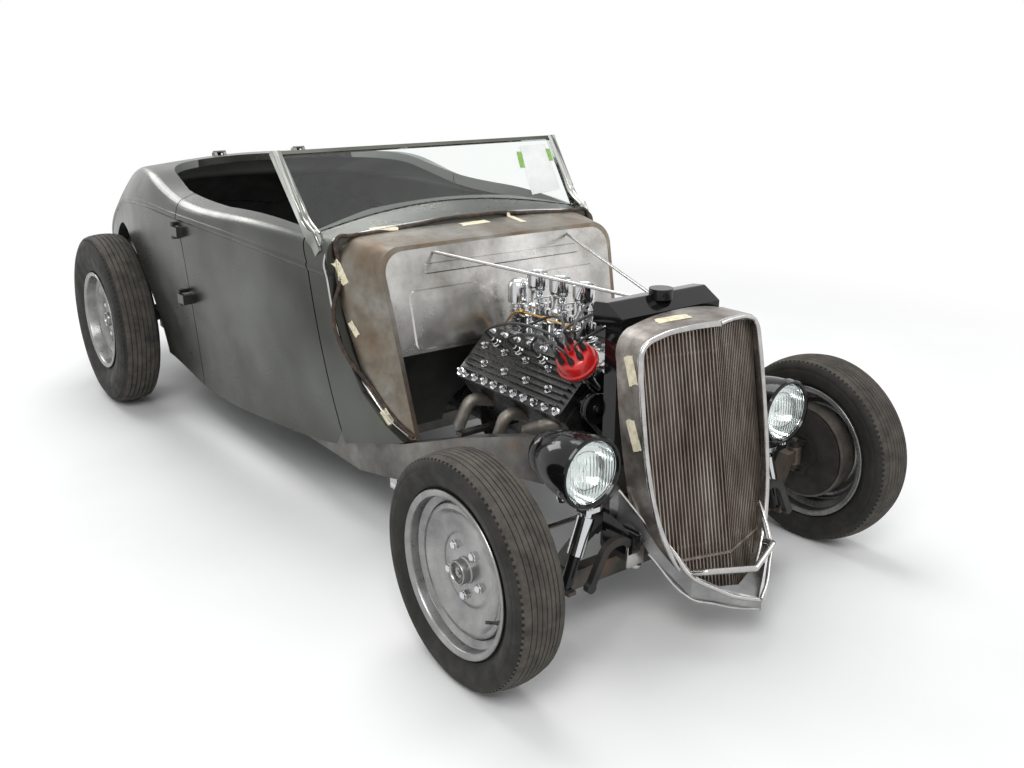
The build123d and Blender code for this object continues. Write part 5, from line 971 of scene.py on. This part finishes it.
class ROADSTER_OT_intake(bpy.types.Operator):
    """Builds the manifold with its three carburettors and the ribbed breather"""

    bl_idname = "roadster.intake"
    bl_label = "Intake"

    def execute(self, context):
        carbs = [part for y in CARB_Y for part in self.carburettor(y)]
        carbs.append(turned("breather", BREATHER, 48, at(-20, 690, 0)))
        dress("carburettors", carbs, "alloy", "chrome", replaces=["intake"])
        manifold = [block("plenum", (150, 430, 32), at(0, 501, 656), 8),
                    turned("neck", FILLER_NECK, 32, at(0, 262, 640), (0, -0.5, 0.9)),
                    block("front_plate", (120, 70, 12), at(0, 262, 640), 4)]
        for side in (1, -1):
            for y in (345, 440, 560, 655):
                slope = (0, side * math.radians(24), 0)
                manifold.append(block("runner", (96, 52, 30), at(side * 100, y, 662), 9, slope))
        dress("manifold", manifold, "alloy", "alloy")
        fuel = [pipe("fuel", [at(*point) for point in FUEL_LINE], 0.004)]
        rods = [pipe("throttle", [at(*point) for point in THROTTLE_ROD], 0.0032)]
        for y in CARB_Y:
            fuel.append(turned("union", UNION, 6, at(FUEL_LINE[0][0], y, 764), (0, 1, 0)))
            rods.append(block("lever", (6, 14, 34), at(45, y, 698), 2))
            rods.append(block("lever_pin", (22, 8, 8), at(42, y, 704), 2))
        dress("fuel_line", fuel, "alloy", "brass")
        dress("throttle_linkage", rods, "chrome", "chrome")
        return {"FINISHED"}

    @staticmethod
    def carburettor(y):
        parts = [
            block("flange", (92, 66, 9), at(0, y, 676.5), 2.5),
            block("body", (62, 56, 30), at(0, y, 694), 5),
            block("cover", (78, 60, 8), at(0, y, 712), 3),
            turned("barrel", BARREL, 56, at(0, y, 0)),
            turned("float", FLOAT_BOWL, 36, at(-44, y, 0)),
            turned("pump", PUMP, 24, at(40, y + 6, 0)),
            block("link", (70, 6, 5), at(0, y - 27, 806), 1.5),
            block("arm", (8, 8, 42), at(33, y - 27, 788), 2),
        ]
        for angle in range(0, 360, 45):
            turn = math.radians(angle + 22)
            spot = at(29 * math.cos(turn), y + 29 * math.sin(turn), 749)
            parts.append(block("rib", (5, 5, 44), spot, 1.2, (0, 0, turn)))
        for dx, dy in ((34, 24), (34, -24), (-34, 24), (-34, -24)):
            parts.append(stand(hex_nut("stud", 5.5, 5, 2), at(dx, y + dy, 681)))
            parts.append(stand(hex_nut("screw", 3.6, 3, 1.2), at(dx * 0.9, y + dy * 0.9, 716)))
        return parts


# Line of the distributor's shaft, from the engine to its cap
SHAFT_FOOT, SHAFT_TIP = (-118, 142, 600), (-247, 112, 752)
CAP_TOWER_R = 0.038
# Tower of the cap that each wire leaves, right head first and then left, front to back
FIRING_ORDER = (4, 3, 5, 2, 6, 1, 7, 0)
DISTRIBUTOR = [(0, -118), (17, -118), (17, -60), (26, -52), (26, -30), (38, -22), (40, -16), (40, 0),
               (44, 2), (44, 8), (0, 8)]
VACUUM = [(0, 0), (20, 0), (24, 4), (24, 10), (20, 14), (6, 16), (6, 40), (0, 40)]
CAP = [(0, 2), (58, 2), (60, 5), (60, 16), (56, 20), (54, 38), (50, 48), (42, 54), (28, 57), (0, 58)]
TOWER = [(0, 0), (8, 0), (7, 9), (7, 14), (0, 14)]
BOOT = [(0, 0), (8.5, 0), (9, 3), (7.5, 14), (5.2, 24), (0, 25)]


def round_cap(index, height):
    """Place of a tower's height over the middle of the cap, upright at the origin."""
    turn = math.radians(45 * index)
    return Vector((CAP_TOWER_R * math.cos(turn), CAP_TOWER_R * math.sin(turn), height))


class ROADSTER_OT_ignition(bpy.types.Operator):
    """Builds the distributor with its red cap and the plug wires"""

    bl_idname = "roadster.ignition"
    bl_label = "Distributor and Wires"

    def execute(self, context):
        foot, tip = at(*SHAFT_FOOT), at(*SHAFT_TIP)
        stem = (tip - foot).normalized()
        base = tip - stem * 0.028 + Vector((-0.012, 0.006, 0.006))
        body = [turned("body", DISTRIBUTOR, 48, base, stem),
                turned("vacuum", VACUUM, 32, base - stem * 0.012 + Vector((0.02, -0.02, 0)), (0.5, -1, 0.2))]
        for angle in (20, 200):
            clip = block("clip", (6, 10, 34), Vector((0.043, 0, 0.004)), 2)
            body.append(stand(clip, base, stem, math.radians(angle)))
        dress("distributor_body", body, "chrome", "chrome", replaces=["distributor"])
        tower = lathe("tower", TOWER, 20)
        cap = [lathe("cap", CAP, 56), stand(copy_of(tower), Vector((0, 0, 0.056)))]
        cap += [stand(copy_of(tower), round_cap(index, 0.052)) for index in range(8)]
        cap = stand(join("cap", cap), base, stem)
        dress("distributor_cap", [cap], "cap_red", "cap")
        bpy.data.objects.remove(tower)
        self.wires(base, stem)
        return {"FINISHED"}

    @staticmethod
    def wires(base, stem):
        """Leads each wire out of its tower, over the heads and down on its plug."""
        lean = Vector((0, 0, 1)).rotation_difference(stem).to_matrix()
        ends = [(side, along) for side in (-1, 1) for along in PLUG_ALONG]
        pieces = []
        boot = lathe("boot", BOOT, 20)
        for tower, (side, along) in zip(FIRING_ORDER, ends):
            root = base + lean @ round_cap(tower, 0.064)
            plug = on_head(side, along, PLUG_ACROSS, 60)
            out = Vector((side, 0, 1)).normalized()
            rise = root + stem * 0.055
            middle = (rise + plug + out * 0.05) / 2 + Vector((0, 0, 0.035 if side < 0 else 0.06))
            if side > 0:
                middle.y = min(middle.y, at(0, 330, 0).y)
            points = [root, root + stem * 0.03, rise, middle, plug + out * 0.055, plug + out * 0.018, plug]
            pieces.append(pipe("wire", points, sizes().wire_radius, smooth=6, sides=2))
            pieces.append(stand(copy_of(boot), plug - out * 0.014, out))
            pieces.append(stand(copy_of(boot), root - stem * 0.004, stem))
        bpy.data.objects.remove(boot)
        points = [base + stem * 0.069, base + stem * 0.105, at(-200, 240, 840), at(-120, 420, 800),
                  at(-110, 560, 720)]
        pieces.append(pipe("coil_wire", points, sizes().wire_radius, smooth=8, sides=2))
        dress("plug_wires", pieces, "black_metal", "wire")


PULLEY_Y = 92
# Pulleys: x, z, radius, and radius of the belt round it
PULLEYS = ((0, 435, 76, 68), (150, 520, 62, 54), (-196, 606, 44, 36))


class ROADSTER_OT_front_drive(bpy.types.Operator):
    """Builds the pulleys and the belt at the front of the engine"""

    bl_idname = "roadster.front_drive"
    bl_label = "Front Drive"

    def execute(self, context):
        pieces = []
        for x, z, radius, _ in PULLEYS:
            sheave = [(0, 0), (radius * 0.3, 0), (radius * 0.34, 3), (radius * 0.6, 6), (radius * 0.9, 3),
                      (radius, 1), (radius, 4), (radius - 9, 10), (radius - 9, 14), (radius, 20),
                      (radius, 23), (radius * 0.85, 25), (0, 26)]
            shaft = [(0, 24), (radius * 0.42, 24), (radius * 0.42, 74), (0, 74)]
            pieces.append(turned("pulley", sheave, 56, at(x, PULLEY_Y, z), (0, 1, 0)))
            pieces.append(stand(hex_nut("pulley_nut", 13, 8, 4), at(x, PULLEY_Y + 1, z), (0, -1, 0)))
            pieces.append(turned("shaft", shaft, 32, at(x, PULLEY_Y, z), (0, 1, 0)))
        pieces.append(block("timing_cover", (196, 18, 216), at(0, 156, 500), 6))
        pieces.append(block("idler_arm", (150, 14, 44), at(-120, 158, 560), 5, (0, math.radians(38), 0)))
        pieces.append(block("pump_arm", (130, 14, 70), at(120, 158, 520), 5))
        dress("pulleys", pieces, "black_metal", "enamel", replaces=["front_drive"])
        points = [at(x, PULLEY_Y + 13, z) for x, z in self.belt_line()]
        belt = pipe("fan_belt", points, 0.0065, kind="BEZIER", sides=1, smooth=3)
        done(belt, "chassis", "black_metal", finish("wire"))
        return {"FINISHED"}

    @staticmethod
    def belt_line():
        """Points round the pulleys, closed on themselves."""
        circles = [(x, z, radius) for x, z, _, radius in PULLEYS]
        points = []
        for before, circle, after in zip(circles[-1:] + circles, circles, circles[1:] + circles[:1]):
            x, z, radius = circle
            start = ROADSTER_OT_front_drive.tangent_angle(before, circle)
            end = ROADSTER_OT_front_drive.tangent_angle(circle, after)
            while end < start:
                end += 2 * math.pi
            for step in range(9):
                turn = start + (end - start) * step / 8
                points.append((x + radius * math.cos(turn), z + radius * math.sin(turn)))
        return points + points[:1]

    @staticmethod
    def tangent_angle(first, second):
        """Angle of the outer tangent's feet on two circles, going round anticlockwise."""
        dx, dz = second[0] - first[0], second[1] - first[1]
        reach = math.hypot(dx, dz)
        return math.atan2(dz, dx) - math.acos((first[2] - second[2]) / reach)


# Cowl's front edge: beside the engine as (distance behind the axle, height), and over it as x
COWL_SIDE = ((690, 400), (762, 440), (852, 530), (912, 645), (955, 765), (980, 870), (989, 930))
COWL_CROWN = (520, 470, 380, 260, 130)
# Crown's edge behind the axle, and how far back moves the line there, in millimetres
CROWN_EDGE, CROWN_BACK = 992, 9
GAP_STEP, GAP_LIMIT = 0.004, 0.030
TAPE_LIFT = 0.02
SHELL = ("grille_shell",)
COWL = ("cowl",)
# Strips of tape in the photograph: from pixel, to pixel, width in millimetres, and what they lie on
TAPES = [
    (370, 230, 397, 227, 36, COWL), (336, 260, 346, 284, 30, COWL), (461, 225, 488, 221, 34, COWL),
    (509, 216, 524, 222, 26, COWL), (350, 322, 358, 336, 24, COWL), (383, 410, 392, 424, 26, COWL),
    (656, 322, 690, 316, 40, SHELL), (628, 356, 634, 386, 34, SHELL), (630, 420, 638, 452, 34, SHELL),
]


def nose_gap(beside):
    """How far the cowl's nose reaches ahead of a point beside it, in metres."""
    inwards = Vector((-beside.x, 0, 0)).normalized()
    gap = 0
    while gap < GAP_LIMIT:
        ahead = beside - Vector((0, gap + GAP_STEP, 0))
        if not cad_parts["cowl"].ray_cast(ahead, inwards)[0]:
            break
        gap += GAP_STEP
    return gap


def cowl_edge(side, back):
    """Points along the cowl's front edge, from the sill up one side to the crown, moved by back."""
    rays = []
    for y, z in COWL_SIDE:
        beside = at(side * 1200, y + 5, z)
        beside.y += nose_gap(beside) * back
        rays.append((beside, (-side, 0, 0)))
    for x in COWL_CROWN:
        rays.append((at(side * x, CROWN_EDGE + CROWN_BACK * back, 1400), (0, 0, -1)))
    return [place + normal * 0.002 for place, normal in (skin("cowl", *ray) for ray in rays)]


class ROADSTER_OT_cowl_trim(bpy.types.Operator):
    """Builds the lacing on the cowl's edge and the masking tape over it and on the grille shell"""

    bl_idname = "roadster.cowl_trim"
    bl_label = "Lacing and Tape"

    def execute(self, context):
        for name, back, radius, slot, shade in (
            ("cowl_lacing", -0.8, sizes().strip_radius, "tyre_rubber", "lacing"),
            ("cowl_ledge", 0.0, 0.0035, "bare_steel", "polished"),
        ):
            crown, normal = skin("cowl", at(0, CROWN_EDGE + CROWN_BACK * back, 1400), (0, 0, -1))
            line = cowl_edge(-1, back) + [crown + normal * 0.002] + cowl_edge(1, back)[::-1]
            strip = pipe(name, line, radius, kind="BEZIER", sides=3, smooth=6)
            done(strip, "chassis", slot, finish(shade))
        random.seed(7)
        dress("masking_tape", [self.tape(*row) for row in TAPES], "weathered_steel", "tape", angle=60)
        return {"FINISHED"}

    @staticmethod
    def tape(x0, y0, x1, y1, width, nodes):
        """Torn strip from one pixel of the photograph to another, pressed on the surface."""
        start, normal_a = seen(x0, y0, *nodes)
        end, normal_b = seen(x1, y1, *nodes)
        normal = (normal_a + normal_b).normalized()
        along = end - start
        length = along.length
        along.normalize()
        side = normal.cross(along).normalized()
        normal = along.cross(side)
        deselect()
        bpy.ops.mesh.primitive_grid_add(x_subdivisions=14, y_subdivisions=8, size=1)
        tape = bpy.context.object
        for vertex in tape.data.vertices:
            x, y = vertex.co.x, vertex.co.y
            if abs(x) > 0.49:
                x += random.uniform(-0.06, 0.05)
            if abs(y) > 0.49:
                y += random.uniform(-0.03, 0.03)
            vertex.co = (x * length, y * width / 1000, 0)
        place = Matrix((along, side, normal)).transposed().to_4x4()
        tape.matrix_world = Matrix.Translation((start + end) / 2 + normal * TAPE_LIFT) @ place
        settle(tape)
        targets = [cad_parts[n] for n in nodes] + [bpy.data.objects["cowl_lacing"]]
        for vertex in tape.data.vertices:
            hits = [target.ray_cast(vertex.co, -normal, distance=0.09) for target in targets]
            spots = [spot for found, spot, _, _ in hits if found]
            ripple = random.uniform(0.0003, 0.0010)
            if spots:
                vertex.co = min(spots, key=lambda spot: (spot - vertex.co).length) + normal * ripple
            else:
                vertex.co = vertex.co - normal * (TAPE_LIFT - 0.002)
        only(tape)
        smooth = tape.modifiers.new("Ease", "SMOOTH")
        smooth.factor = 0.5
        smooth.iterations = 2
        bpy.ops.object.modifier_apply(modifier=smooth.name)
        return walled(tape, sizes().tape_thickness, 1)


# Grille opening as (x, z) from the foot up, and the apron's edges as points from the frame to its tip
GRILLE_BEAD = [(0, 120), (50, 131), (94, 152), (132, 185), (162, 221), (207, 321), (229, 431), (236, 515),
               (237, 600), (235, 700), (231, 779), (218, 832), (170, 858), (88, 872), (44, 875), (0, 876)]
APRON_BEAD = [(252, -64, 430), (214, -150, 341), (188, -206, 293), (162, -262, 225), (112, -300, 190),
              (64, -334, 164), (4, -366, 148)]
APRON_FOOT = [(214, -150, 262), (162, -262, 160), (112, -300, 144), (64, -334, 130), (3, -367, 121)]
HORN_PLUG = [(0, 0), (17, 0), (19, 3), (19, 9), (15, 12), (0, 12)]
# Grille's front: its y at the shell's shoulder, the shoulder's height, its V and its lean
SHELL_FRONT, SHELL_SHOULDER, SHELL_V, SHELL_LEAN = -163, 858, 0.30, 110 / 610


class ROADSTER_OT_grille_trim(bpy.types.Operator):
    """Builds the polished beads round the grille opening and along the apron, and the boxes beside it"""

    bl_idname = "roadster.grille_trim"
    bl_label = "Nose Beads"

    def execute(self, context):
        halves, edges, boxes, faces = [], [], [], []
        for side in (1, -1):
            rim = []
            for x, z in GRILLE_BEAD:
                rim.append(at(side * x, SHELL_FRONT + x * SHELL_V - (SHELL_SHOULDER - z) * SHELL_LEAN - 1, z))
            halves.append(pipe("bead", rim, 0.008, kind="BEZIER", sides=4, smooth=6))
            for line, radius, sides in ((APRON_BEAD, 0.0055, 4), (APRON_FOOT, 0.0035, 3)):
                points = [at(side * x, y, z) for x, y, z in line]
                edges.append(pipe("edge", points, radius, kind="BEZIER", sides=sides, smooth=6))
            boxes.append(block("horn_box", (52, 120, 78), at(side * 240, -62, 272), 16))
            faces.append(block("horn_face", (64, 9, 92), at(side * 240, -124, 270), 4))
            faces.append(turned("plug", HORN_PLUG, 32, at(side * 228, -112, 214)))
        dress("grille_bead", halves, "bare_steel", "polished")
        dress("apron_beads", edges, "bare_steel", "polished")
        dress("horn_boxes", boxes, "black_metal", "satin")
        dress("horn_faces", faces, "bare_steel", "polished")
        return {"FINISHED"}


# Windshield post's middle line at its foot, and how it leans out to its top
POST_X, POST_Z = 556, 990
POST_OUT = 24 / 256
RIDGE_SHIFTS = (-9, 9)
RIDGE_Z = (945, 958, 970, 985, 1005, 1045, 1095, 1145, 1195, 1236)
# Sheets in the photograph: their corners in pixels, clockwise from the top left
PAPER = ((519, 146), (545, 144), (560, 189), (532, 195))
PAPER_TAPES = (((516, 152), (521, 152), (525, 168), (520, 168)),
               ((545, 149), (549, 149), (553, 161), (549, 161)))


class ROADSTER_OT_windshield_trim(bpy.types.Operator):
    """Builds the ridges of the windshield posts and the paper taped to the glass"""

    bl_idname = "roadster.windshield_trim"
    bl_label = "Windshield Trim"

    def execute(self, context):
        ridges = [self.ridge(side, shift) for side in (1, -1) for shift in RIDGE_SHIFTS]
        # The ridges carry the same painted reflection streaks as the posts
        dress("post_ridges", ridges, "chrome", "post")
        dress("paper", [self.sheet("paper", PAPER, 0.0016)], "glass", "paper")
        tapes = [self.sheet("tape", corners, 0.0026) for corners in PAPER_TAPES]
        dress("paper_tape", tapes, "glass", "green")
        return {"FINISHED"}

    @staticmethod
    def ridge(side, shift):
        """Bead down the front of a post, which starts where the post's foot does."""
        points = []
        for z in RIDGE_Z:
            start = at(side * (POST_X + POST_OUT * (z - POST_Z) + shift), 700, z)
            found, place, _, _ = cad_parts["windshield_frame"].ray_cast(start, Vector((0, 1, 0)))
            if found:
                points.append(place + Vector((0, 0.002, 0)))
        return pipe("ridge", points, 0.0068, kind="BEZIER", sides=4, smooth=6)

    @staticmethod
    def sheet(name, pixels, lift):
        """Thin sheet on the glass between four corners in the photograph."""
        corners = [seen(x, y, "windshield_glass") for x, y in pixels]
        top_a, top_b, low_b, low_a = [place + normal * lift for place, normal in corners]
        deselect()
        bpy.ops.mesh.primitive_grid_add(x_subdivisions=8, y_subdivisions=8, size=1)
        obj = bpy.context.object
        obj.name = name
        for vertex in obj.data.vertices:
            u, v = vertex.co.x + 0.5, vertex.co.y + 0.5
            vertex.co = low_a.lerp(low_b, u).lerp(top_a.lerp(top_b, u), v)
        return tidy_mesh(walled(obj, 0.0006, 1))


# Photograph's camera: place in metres, and its angles down and across in radians
CAMERA = (-1.97803, -3.47096, 1.54810)
CAMERA_DOWN, CAMERA_ACROSS = 0.3165, 0.644
# Distances from the middle of the car between which the floor passes into white
FLOOR_NEAR, FLOOR_FAR = 2.2, 4.6
# Area lamps: name, place, aim, size and power
LAMPS = (
    ("key", (-3.2, -4.2, 4.6), (0, -0.4, 0.5), 2.6, 190),
    ("fill", (4.5, -3.0, 3.2), (0, 0, 0.5), 3.0, 80),
    ("top", (0.5, 0.8, 5.2), (0, 0.2, 0.6), 3.4, 150),
    ("back", (-1.5, 5.0, 3.6), (0, 0.5, 0.6), 2.4, 110),
)


class ROADSTER_OT_stage(bpy.types.Operator):
    """Sets up the floor, lights, world and camera"""

    bl_idname = "roadster.stage"
    bl_label = "Stage"

    def execute(self, context):
        scene = context.scene
        scene.view_settings.view_transform = "Standard"
        deselect()
        bpy.ops.mesh.primitive_plane_add(size=60, location=(0, 0, 0))
        floor = context.object
        floor.name = "studio_floor"
        ground = Finish("studio_floor", Specular_IOR_Level=0.2)
        ground.feed(ground.cloud((1.2, 4, 0.5), (0.3, (0.77, 0.77, 0.76)), (0.7, "floor")), "Base Color")
        ground.feed(ground.cloud((3, 4, 0.5), (0.3, 0.55), (0.7, 0.75)), "Roughness")
        self.fade_to_white(ground)
        floor.data.materials.append(ground.material)
        for name, spot, aim, size, power in LAMPS:
            bpy.ops.object.light_add(type="AREA", location=spot)
            lamp = context.object
            lamp.name = name
            lamp.data.size = size
            lamp.data.energy = power
            lamp.rotation_euler = (Vector(aim) - Vector(spot)).to_track_quat("-Z", "Y").to_euler()
        self.world(scene)
        bpy.ops.object.camera_add(location=CAMERA)
        camera = context.object
        camera.rotation_euler = (math.pi / 2 - CAMERA_DOWN, 0, -CAMERA_ACROSS)
        camera.data.sensor_width = SENSOR_MM
        camera.data.lens = LENS_MM
        scene.camera = camera
        context.view_layer.update()
        return {"FINISHED"}

    @staticmethod
    def background_rays(tree):
        """1 for camera, glossy and transmission rays, which see the white background."""
        path = tree.nodes.new("ShaderNodeLightPath")
        total = path.outputs["Is Camera Ray"]
        for kind in ("Is Glossy Ray", "Is Transmission Ray"):
            either = tree.nodes.new("ShaderNodeMath")
            either.operation = "MAXIMUM"
            tree.links.new(total, either.inputs[0])
            tree.links.new(path.outputs[kind], either.inputs[1])
            total = either.outputs["Value"]
        return total

    def fade_to_white(self, ground):
        """Lets the floor pass into the white background well away from the car."""
        tree = ground.tree
        reach = tree.nodes.new("ShaderNodeVectorMath")
        reach.operation = "LENGTH"
        ground.link(ground.place, reach.inputs[0])
        far = tree.nodes.new("ShaderNodeMapRange")
        far.interpolation_type = "SMOOTHSTEP"
        far.inputs["From Min"].default_value = FLOOR_NEAR
        far.inputs["From Max"].default_value = FLOOR_FAR
        ground.link(reach.outputs["Value"], far.inputs["Value"])
        white = tree.nodes.new("ShaderNodeEmission")
        mix = tree.nodes.new("ShaderNodeMixShader")
        ground.link(ground.times(far.outputs["Result"], self.background_rays(tree)), mix.inputs["Fac"])
        ground.link(ground.shader.outputs["BSDF"], mix.inputs[1])
        ground.link(white.outputs["Emission"], mix.inputs[2])
        ground.link(mix.outputs["Shader"], tree.nodes["Material Output"].inputs["Surface"])

    def world(self, scene):
        world = scene.world or bpy.data.worlds.new("studio")
        scene.world = world
        world.use_nodes = True
        tree = world.node_tree
        light = tree.nodes["Background"]
        light.inputs["Color"].default_value = (0.85, 0.87, 0.9, 1)
        light.inputs["Strength"].default_value = 0.55
        white = tree.nodes.new("ShaderNodeBackground")
        white.inputs["Color"].default_value = (1, 1, 1, 1)
        mix = tree.nodes.new("ShaderNodeMixShader")
        tree.links.new(self.background_rays(tree), mix.inputs["Fac"])
        tree.links.new(light.outputs["Background"], mix.inputs[1])
        tree.links.new(white.outputs["Background"], mix.inputs[2])
        tree.links.new(mix.outputs["Shader"], tree.nodes["World Output"].inputs["Surface"])


STEPS = (
    ROADSTER_OT_stage, ROADSTER_OT_frame_finishes, ROADSTER_OT_tyres, ROADSTER_OT_wheels,
    ROADSTER_OT_headlamps, ROADSTER_OT_heads, ROADSTER_OT_intake, ROADSTER_OT_ignition,
    ROADSTER_OT_front_drive, ROADSTER_OT_cowl_trim, ROADSTER_OT_grille_trim, ROADSTER_OT_windshield_trim,
)


class ROADSTER_PT_panel(bpy.types.Panel):
    """Lists the steps that dress the roadster"""

    bl_idname = "ROADSTER_PT_panel"
    bl_label = "Roadster"
    bl_space_type = "VIEW_3D"
    bl_region_type = "UI"
    bl_category = "Roadster"

    def draw(self, context):
        for step in STEPS:
            self.layout.operator(step.bl_idname)
        for group in (context.scene.roadster_sizes, context.scene.roadster_colours):
            box = self.layout.box()
            for name in group.__annotations__:
                box.prop(group, name)


CLASSES = (RoadsterSizes, RoadsterColours, *STEPS, ROADSTER_PT_panel)


def register():
    for cls in CLASSES:
        bpy.utils.register_class(cls)
    bpy.types.Scene.roadster_sizes = bpy.props.PointerProperty(type=RoadsterSizes)
    bpy.types.Scene.roadster_colours = bpy.props.PointerProperty(type=RoadsterColours)


def unregister():
    del bpy.types.Scene.roadster_colours
    del bpy.types.Scene.roadster_sizes
    for cls in reversed(CLASSES):
        bpy.utils.unregister_class(cls)


def main():
    register()
    for step in STEPS:
        group, name = step.bl_idname.split(".")
        getattr(getattr(bpy.ops, group), name)()


if __name__ == "__main__":
    main()
